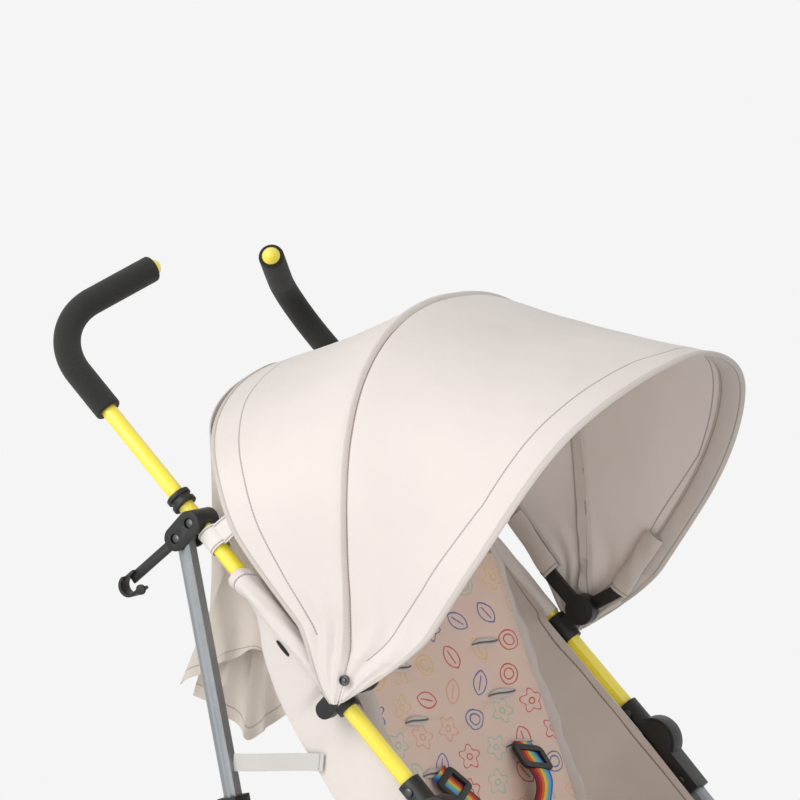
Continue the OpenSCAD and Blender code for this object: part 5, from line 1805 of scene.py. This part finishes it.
    def shell(self) -> None:
        """Makes the seat cloth from hem to hem."""
        i = np.concatenate([np.linspace(-0.35, self.base_row, 91), np.linspace(11.1, self.apron_row, 16)])
        wing = np.linspace(-1, -self.share, 19)
        t = np.concatenate([wing, np.linspace(-self.share, self.share, 21)[1:-1], np.linspace(self.share, 1, 19)])
        ii, tt = grid(i, t)
        m = np.abs(tt)
        points = self.cloth_at(ii, tt)
        slack = ripple(points, (0.016, 2.4), (0.04, 0.9))
        slack += 4.0 * np.sin(1.7 * ii + 4 * m) + 2.2 * np.sin(3.9 * ii - 9 * m)
        loose = np.sin(np.pi * np.clip((m - self.share) / (1 - self.share), 0, 1))
        points[..., 1] += slack * loose * (1 - ease(10, 11, ii))
        points[..., 1] += 3.0 * ease(11.2, 13, ii) * np.sin(points[..., 0] / 27 + 0.6)
        reach = np.linalg.norm(points[:, len(wing) - 1] - points[:, 0], axis=-1)
        hem = (1 - m) / (1 - self.share) * reach[:, None]
        obj = Bench.sheet("seat_cloth", points, Finish.SEAT, "seat_cloth", hem, thick=1.6)
        Bench.cloth(obj, self.cloth_width, "stretched", ["push_tube_right", "push_tube_left"])
        Bench.folds(obj)
        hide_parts("seat_sling")

    def ear_at(self, t: Points, q: Points, side: Side) -> Points:
        """Gives a point of an outer side panel.

        Args:
            t: the place down, from 0 to 1.
            q: the place from the tube at 0 over the rear edge to the back panel at 1.
            side: its side.

        Returns:
            The point.
        """
        s = self.sleeve[1] + (self.ear_end - self.sleeve[1]) * t
        front = self.lines.along(s, 0.0, side.value * self.hem_x(s))
        rear = self.lines.along(s, -np.interp(s, *self.ear_edge), side.value * self.ear_half)
        top = self.line(0.0)
        d = np.clip((top[2] - rear[..., 2]) / math.cos(self.recline), 0, self.back_len)
        panel = self.on(d, np.full_like(d, side.value * self.half), np.full_like(d, -2.4))
        a = (2 * q)[..., None]
        return np.where(q[..., None] < 0.5, front * (1 - a) + rear * a, rear * (2 - a) + panel * (a - 1))

    def ear(self, side: Side) -> None:
        """Makes one outer side panel with its rear fold and the folds towards the strap.

        Args:
            side: its side.
        """
        t, q = grid(np.linspace(0, 1, 81), np.linspace(0, 1, 49))
        points = self.ear_at(t, q, side)
        bulge = np.sin(np.pi * np.clip(q * 2, 0, 1)) * (2.0 + ripple(points, (0.018, 2.6)))
        pull = 2.6 * bell(t, self.strap_share, 0.036) * ease(0.15, 0.5, q) * (1 - ease(0.5, 0.75, q))
        points[..., 0] += side.value * (np.maximum(bulge, 0) * 0.6 - pull)
        obj = Bench.sheet(f"seat_side_{side.word}", points, Finish.OUTER, "seat_cloth", thick=1.4,
                          flip=side is Side.RIGHT)
        Bench.cloth(obj, self.ear_width, "stretched", ["push_tube_" + side.word])
        Bench.folds(obj)

    def tube_sleeve(self, side: Side) -> None:
        """Makes the sleeve that holds the seat on a push tube, with a double hem at its top.

        Args:
            side: its side.
        """
        s, turn = grid(np.linspace(*self.sleeve, 45), np.linspace(0, TURN, 41))
        top = self.sleeve[1] - s
        r = self.sleeve_radius + 0.9 * (1 - ease(12, 14, top)) + 0.8 * (1 - ease(0, 3, top))
        r = r + 0.5 * np.sin(3 * turn + s / 17) + 0.35 * np.sin(5 * turn - s / 11)
        r = r + 5.0 * (1 - ease(2, 34, top)) * np.maximum(0, -np.cos(turn)) ** 2
        slant = 6.0 * np.sin(turn) * (1 - ease(0, 40, top))
        points = self.lines.along(s + slant - 4, r * np.cos(turn), side.value * (self.lines.half + r * np.sin(turn)))
        obj = Bench.sheet(f"seat_sleeve_{side.word}", points, Finish.OUTER, "seat_cloth", top, thick=1.0,
                          flip=side is Side.RIGHT)
        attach(obj, f"{side.word}_frame")

    def binding(self, side: Side) -> None:
        """Makes the turned seam between the back panel and a wing.

        Args:
            side: its side.
        """
        i = np.linspace(-0.3, 10.6, 110)
        ii, kk = grid(i, np.linspace(0, 1, 13))
        inner = self.cloth_at(i, side.value * self.share)
        reach = np.linalg.norm(self.cloth_at(i, side.value * 1.0) - inner, axis=-1)
        part = (np.minimum(self.seam_width, 0.4 * reach) / reach)[:, None]
        points = self.cloth_at(ii, side.value * (self.share + (1 - self.share) * (kk - 0.15) * part))
        lump = 1.4 * np.sin(ii * 4.1 + 1.0) + 0.9 * np.sin(ii * 9.7)
        lift = 1.2 + (self.seam_lift + lump) * np.sin(np.pi * kk) ** 0.8
        points = points + self.face(self.down(i))[:, None, :] * lift[..., None]
        obj = Bench.sheet(f"seat_seam_{side.word}", points, Finish.BINDING, "seat_cloth", thick=1.6,
                          flip=side is Side.RIGHT)
        Bench.folds(obj)

    def buttonhole(self, side: Side) -> None:
        """Makes the bound slit in an outer side panel as a near-black lens-shaped sheet on the panel: painted shade
        standing for the slit's hollow.

        Args:
            side: its side.
        """
        a, b = grid(np.linspace(-1, 1, 25), np.linspace(-1, 1, 7))
        middle = np.array([side.value * self.slit_at[0], *self.slit_at[1:]])
        run = np.array([0, 0.707, 0.707])
        wide = np.array([0, 0.707, -0.707])
        across = b * self.slit_half[1] * np.sqrt(np.maximum(1 - a ** 2, 0))
        points = middle + a[..., None] * self.slit_half[0] * run + across[..., None] * wide
        points[..., 0] += side.value * 0.8 * (1 - b ** 2)
        obj = Bench.sheet(f"seat_slit_{side.word}", points, Finish.DARK, "seat_cloth", thick=0.8,
                          flip=side is Side.LEFT, angle=42)
        Bench.folds(obj)

    def pad(self) -> None:
        """Makes the printed pad, swelled by a short cloth simulation."""
        reach = self.back_len + self.base_len
        first, last = self.pad_ends
        d, t = grid(np.linspace(first, last, 121) * reach, np.linspace(-self.pad_half, self.pad_half, 61))
        edge = np.minimum(d / reach - first, last - d / reach) * reach
        tall = 1.0 + 3.4 * ease(0, 14, np.minimum(edge, (self.pad_half - np.abs(t)) * self.half))
        points = self.on(d, t * self.half, self.curl * t * t + 1.0 + tall)
        obj = Bench.sheet("seat_pad_cover", points, Finish.PRINT, "printed_cloth", thick=0)
        top = len(obj.data.vertices)
        Bench.modify(obj, "SOLIDIFY", thickness=1.6 * MM, offset=-1.0)
        held = obj.vertex_groups.new(name="held")
        held.add(list(range(top, len(obj.data.vertices))), 1.0, "REPLACE")
        self.swell(obj)
        obj.vertex_groups.clear()
        Bench.modify(obj, "SUBSURF", levels=1, render_levels=1)
        self.crease(obj)
        Bench.smooth(obj, 70)
        Bench.folds(obj)
        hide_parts("seat_pad")

    def swell(self, obj: Object, cap: float = 4.0) -> None:
        """Swells a pad by cloth pressure.

        Args:
            obj: the pad, its underside in the group held.
            cap: the furthest that a point may move, in millimetres.
        """
        start = Bench.spots(obj)
        cloth = obj.modifiers.new("swell", "CLOTH")
        cloth.settings.vertex_group_mass = "held"
        cloth.settings.use_pressure = True
        cloth.settings.uniform_pressure_force = 4.0
        cloth.settings.quality = 4
        cloth.settings.effector_weights.gravity = 0.0
        cloth.collision_settings.use_collision = False
        scene = bpy.context.scene
        for frame in range(1, 21):
            scene.frame_set(frame)
        move = Bench.spots(obj.evaluated_get(bpy.context.evaluated_depsgraph_get())) - start
        obj.modifiers.remove(cloth)
        scene.frame_set(1)
        far = np.linalg.norm(move, axis=1, keepdims=True)
        Bench.move(obj, start + move * np.minimum(1, cap * MM / np.maximum(far, TINY)))

    def crease(self, obj: Object) -> None:
        """Adds the dents of the pad's sewn slots and soft creases, and keeps where each point lies on the print.

        Args:
            obj: the pad.
        """
        spots = Bench.spots(obj) / MM
        x = spots[:, 0]
        d = np.linspace(-5, self.back_len + self.base_len + 5, 600)
        line = self.line(d)[:, 1:]
        down = d[[np.argmin(np.sum((line - p) ** 2, axis=1)) for p in spots[:, 1:]]]
        face = self.face(down)
        front = ease(2.0, 4.0, np.sum((spots - self.line(down)) * face, axis=1))
        lift = np.zeros(len(spots))
        for row in self.slot_rows:
            for middle in (-self.slot_x, self.slot_x):
                off = np.abs(x - middle)
                lift -= 2.6 * np.exp(-((off / 34) ** 4 + ((down - row) / 11) ** 2))
                lift += 1.5 * bell(down - row - 0.22 * off, 0, 5) * bell(off, 38, 22)
        for middle, row, slope in self.creases:
            lift += 1.7 * bell(down - row - slope * (x - middle), 0, 4.5) * bell(x, middle, 55)
        lift += ripple(spots, (0.02, 1.2))
        spots = spots + face * (lift * front)[:, None]
        Bench.move(obj, spots * MM)
        where = np.stack([spots[:, 0], down, np.zeros_like(down)], -1)
        layer = obj.data.attributes.new("print", "FLOAT_VECTOR", "POINT")
        layer.data.foreach_set("vector", where.astype(np.float32).ravel())

    def slot_lips(self) -> None:
        """Makes the bound lips of the six harness slots; the near-black line down each one's middle is painted shade of
        the slit.
        """
        a, b = grid(np.linspace(-1, 1, 33), np.linspace(-1, 1, 9))
        tall = 5.0 * np.maximum(1 - a ** 2, 0) ** 0.7
        for n, row in enumerate(self.slot_rows):
            for side in Side:
                x = side.value * self.slot_x + 25.0 * a
                d = row + b * tall + 1.5 * np.sin(a * 2.2)
                roll = 2.4 * (1 - a ** 4) * (1 - (np.abs(b) - 0.55) ** 2 * 3)
                points = self.on(d, x, 5.6 + self.curl * (x / self.half) ** 2 + roll)
                obj = Bench.sheet(f"seat_slot_{n}_{side.word}", points, Finish.LIP, "seat_cloth",
                                  np.abs(b) * tall * 0.8, thick=1.4, angle=42)
                Bench.folds(obj)

    def build(self) -> None:
        """Builds the whole seat."""
        self.shell()
        for side in Side:
            self.ear(side)
            self.tube_sleeve(side)
            self.binding(side)
            self.buttonhole(side)
        self.pad()
        self.slot_lips()
        LOG.info("seat built")


@dataclass
class Harness:
    """Striped shoulder straps with their sliders, crotch strap and buckle, in millimetres."""

    seat: Seat
    width: float = 30.0
    thick: float = 1.5
    buckle_share: float = 0.42
    buckle_reach: Pair = (30.0, 26.0)
    crotch_share: float = 0.86
    strap_up: Pair = (11.0, 18.0)
    strap_in: float = 16.0
    sag: Triple = (0.0, 10.0, -14.0)
    hump: Triple = (17.0, 0.2, 0.13)
    twist: float = 0.32
    slider_size: Pair = (44.0, 31.0)
    slider_corner: float = 6.5
    slider_bar: float = 7.2
    slider_thick: float = 4.0
    slider_sink: float = 3.0
    slider_place: Triple = (0.02, 0.085, 0.15)

    @property
    def buckle(self) -> float:
        """The buckle's distance from the top of the seat's back."""
        return self.seat.back_len + self.buckle_share * self.seat.base_len

    def path(self, side: Side, t: Points) -> Points:
        """Gives a point of a shoulder strap's middle line.

        Args:
            side: its side.
            t: the place from its slot at 0 to the buckle at 1.

        Returns:
            The point.
        """
        slot = self.seat.slot_rows[-1]
        start = self.seat.on(slot, side.value * self.seat.slot_x, self.strap_up[0])
        end = self.seat.on(self.buckle - self.buckle_reach[0], side.value * self.strap_in, self.strap_up[1])
        t = np.asarray(t, float)[..., None]
        hump = self.seat.face(slot) * self.hump[0] * bell(t, *self.hump[1:])
        return start * (1 - t) + end * t + (np.array(self.sag) * np.sin(np.pi * t) + hump)

    def strap(self, side: Side) -> None:
        """Makes one shoulder strap with a slow twist.

        Args:
            side: its side.
        """
        t = np.linspace(0, 1, 121)
        b = np.linspace(0, 1, 9)
        line = self.path(side, t)
        ahead = unit(np.gradient(line, axis=0))
        inward = np.array([-side.value, 0.0, 0.0])
        wide = unit(inward - ahead * np.sum(ahead * inward, axis=1, keepdims=True))
        angle = self.twist * np.sin(np.pi * t) * np.sin(5 * t + 0.6) * ease(0.2, 0.45, t)
        wide = wide * np.cos(angle)[:, None] + np.cross(ahead, wide) * np.sin(angle)[:, None]
        points = line[None, :, :] + ((0.5 - b)[:, None, None] * self.width) * wide[None, :, :]
        cup = 1.4 * (1 - (2 * b - 1) ** 2)
        points += cup[:, None, None] * np.cross(ahead, wide)[None, :, :] * -side.value
        obj = Bench.sheet(f"harness_strap_{side.word}", points, Finish.RAINBOW, "striped_webbing", thick=self.thick,
                          flip=side is Side.LEFT)
        Bench.folds(obj)
        if side is Side.RIGHT:
            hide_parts("harness")

    def crotch(self) -> None:
        """Makes the strap between the buckle and the seat base."""
        first = self.buckle + self.buckle_reach[1]
        last = self.seat.back_len + self.crotch_share * self.seat.base_len
        b, d = grid(np.linspace(-0.5, 0.5, 9), np.linspace(first, last, 41))
        up = 15.0 - 4.0 * ease(0.6, 1.0, (d - first) / (last - first))
        obj = Bench.sheet("harness_crotch_strap", self.seat.on(d, b * self.width, up), Finish.RAINBOW,
                          "striped_webbing", thick=self.thick, flip=True)
        Bench.folds(obj)

    def slider(self, side: Side) -> None:
        """Makes one strap slider: a rounded frame that the strap passes through.

        Args:
            side: its side.
        """
        Bench.clear()
        bpy.ops.mesh.primitive_plane_add(size=1.0)
        obj = Bench.named(f"harness_slider_{side.word}")
        Bench.mode("EDIT")
        bpy.ops.transform.resize(value=(self.slider_size[0] * MM, self.slider_size[1] * MM, 1))
        bpy.ops.mesh.bevel(offset=self.slider_corner * MM, segments=3, affect="VERTICES")
        bpy.ops.mesh.select_all(action="SELECT")
        bpy.ops.mesh.inset(thickness=self.slider_bar * MM, depth=0.0)
        bpy.ops.mesh.delete(type="FACE")
        Bench.mode("OBJECT")
        Bench.modify(obj, "SOLIDIFY", thickness=self.slider_thick * MM, offset=0.0)
        Bench.bevel(obj, 1.5, 3, 50)
        line = self.path(side, np.array(self.slider_place)) * MM
        ahead = Vector(line[2] - line[0]).normalized()
        wide = (Vector((1, 0, 0)) - ahead * ahead.x).normalized()
        out = wide.cross(ahead)
        turn = Matrix((wide, ahead, out)).transposed().to_4x4() @ Matrix.Rotation(side.value * 0.05, 4, "Z")
        obj.data.transform(Matrix.Translation(Vector(line[1]) - out * self.slider_sink * MM) @ turn)
        Bench.smooth(obj, 36)
        Bench.paint(obj, Finish.PLASTIC, "black_plastic")
        Bench.folds(obj)
        if side is Side.RIGHT:
            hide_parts("harness_sliders")

    def build(self) -> None:
        """Builds the harness."""
        for side in Side:
            self.strap(side)
            self.slider(side)
        self.crotch()
        buckle = Bench.eased("harness_buckle", 2.4, Finish.PLASTIC, "black_plastic", 3)
        Bench.narrows(buckle, Cover.SEAT)
        LOG.info("harness built")


@dataclass
class Undercarriage:
    """Side straps, basket and footrest band, in millimetres."""

    lines: FrameLines
    strap_width: float = 17.0
    strap_start: Triple = (204.6, 99.0, 555.0)
    strap_spread: float = 15.4
    strap_fall: float = 7.0
    strap_short: float = 7.3
    basket_half: float = 207.0
    basket_front: float = -150.0
    basket_rear: float = 112.0
    basket_top: float = 300.0
    basket_depth: float = 103.0
    basket_width: float = 0.6
    corner_power: float = 7
    rail: Pair = (-246.0, 141.0)
    rail_half: float = 210.5
    rail_width: float = 18.0
    band_at: float = 394.0
    band_width: float = 46.0
    band_half: float = 210.0
    band_cloth: float = 0.42

    @property
    def basket_middle(self) -> float:
        """The middle of the basket in Y."""
        return (self.basket_rear + self.basket_front) / 2

    def side_strap(self, side: Side) -> None:
        """Makes the webbing from an outer side panel to the rear leg, its sewn end lying on the panel.

        Args:
            side: its side.
        """
        t = np.linspace(0, 1, 61)
        b = np.linspace(0, 1, 9)
        x, y, z = self.strap_start
        z = z - self.strap_fall * t
        leg = self.lines.hinge[0] - (self.lines.hinge[1] - z) * math.tan(self.lines.lean) - self.strap_short
        x = x + self.strap_spread * ease(0.1, 1.0, t) + 1.2 * np.sin(np.pi * t)
        line = np.stack([side.value * x, y + t * (leg - y), z], -1)
        points = line[None, :, :] + (b - 0.5)[:, None, None] * self.strap_width * np.array([0.0, 0.1, -1.0])
        obj = Bench.sheet(f"side_strap_{side.word}", points, Finish.STRAP, "grey_webbing", t * (leg - y), thick=1.5,
                          flip=side is Side.LEFT)
        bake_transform(obj)
        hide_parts(f"seat_strap_{side.word}")

    def plan(self, turn: Points, shrink: float) -> Points:
        """Gives a point of the basket's rounded plan.

        Args:
            turn: the angle about the basket's middle.
            shrink: how far the plan is drawn in.

        Returns:
            The point in X and Y.
        """
        a = self.basket_half - shrink
        b = (self.basket_rear - self.basket_front) / 2 - shrink
        c, s = np.cos(turn), np.sin(turn)
        k = (np.abs(c) ** self.corner_power + np.abs(s) ** self.corner_power) ** (-1 / self.corner_power)
        return np.stack([a * c * k, self.basket_middle + b * s * k], -1)

    def basket(self) -> None:
        """Makes the basket as a lofted shell that sags, with its side bands."""
        turn = np.linspace(0, TURN, 121)
        down = np.concatenate([np.linspace(0, 1, 25), np.linspace(1.06, 1.98, 16)])
        rows = []
        for k in down:
            depth, inward = min(k, 1.0), max(0.0, k - 1.0)
            ring = self.plan(turn, 22.0 * depth ** 1.5 + 8 * max(0, depth - 0.85) / 0.15)
            ring = ring * (1 - inward) + np.array([0.0, self.basket_middle]) * inward
            drop = self.basket_depth * math.sin(depth * math.pi / 2) ** 0.9
            dip = 5.0 * math.sin(min(inward, 1) * math.pi / 2)
            sag = 3.0 * (1 - np.cos(4 * turn)) * (1 - depth) * 0.6
            rows.append(np.concatenate([ring, (self.basket_top - drop * 0.92 - dip - sag)[:, None]], axis=1))
        points = np.array(rows)
        uneven = ripple(points, (0.02, 2.2))
        uneven[:, -1] = uneven[:, 0]
        wall = np.minimum(down, 1)[:, None]
        points[..., 2] += uneven * wall
        obj = Bench.sheet("basket_cloth", points, Finish.BASKET, "seat_cloth", wall * self.basket_depth, thick=1.4)
        Bench.cloth(obj, self.basket_width, "hung",
                    ["front_leg_right", "front_leg_left", "rear_leg_right", "rear_leg_left"])
        Bench.folds(obj)
        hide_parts("basket")
        for side in Side:
            self.basket_band(side)

    def basket_band(self, side: Side) -> None:
        """Makes a side band of the basket from the front leg to the rear leg.

        Args:
            side: its side.
        """
        b, t = grid(np.linspace(0, 1, 7), np.linspace(0, 1, 81))
        y = self.rail[0] + t * (self.rail[1] - self.rail[0])
        z = self.basket_top - self.rail_width * b - 2.5 * np.sin(np.pi * t)
        points = np.stack([np.full_like(y, side.value * self.rail_half), y, z], -1)
        obj = Bench.sheet(f"basket_band_{side.word}", points, Finish.STRAP, "grey_webbing", 3.0, thick=1.6,
                          flip=side is Side.LEFT, angle=42)
        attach(obj, f"{side.word}_frame")
        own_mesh(obj)

    def footrest(self) -> None:
        """Makes the footrest band between the front legs."""
        b, t = grid(np.linspace(-1, 1, 15), np.linspace(-1, 1, 61))
        points = self.lines.front_leg(self.band_at + b * self.band_width / 2)
        bow = 1 - t ** 2
        points = points + np.stack([t * self.band_half, 12.0 * bow - 3.5, -1.5 * bow * (1 - b ** 2)], -1)
        hem = (1 - np.abs(b)) * self.band_width / 2
        obj = Bench.sheet("footrest_cloth", points, Finish.SEAT, "seat_cloth", hem, thick=2.0)
        Bench.cloth(obj, self.band_cloth, "hung", ["front_leg_right", "front_leg_left"])
        Bench.folds(obj)
        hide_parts("footrest_band")

    def build(self) -> None:
        """Builds the straps, basket and footrest band."""
        for side in Side:
            self.side_strap(side)
        self.basket()
        self.footrest()
        LOG.info("undercarriage built")


def main() -> None:
    """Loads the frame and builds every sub-assembly in order."""
    logging.basicConfig(level=logging.INFO, format="%(name)s: %(message)s")
    Bench.load()
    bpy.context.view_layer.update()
    lines = FrameLines()
    hood = Hood(lines)
    seat = Seat(lines)
    Studio().build()
    HardParts().build()
    hood.build()
    Curtain(hood, lines).build()
    seat.build()
    Harness(seat).build()
    Undercarriage(lines).build()
    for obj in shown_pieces():
        LOG.info("piece %s", obj.name)


if __name__ == "__main__":
    main()
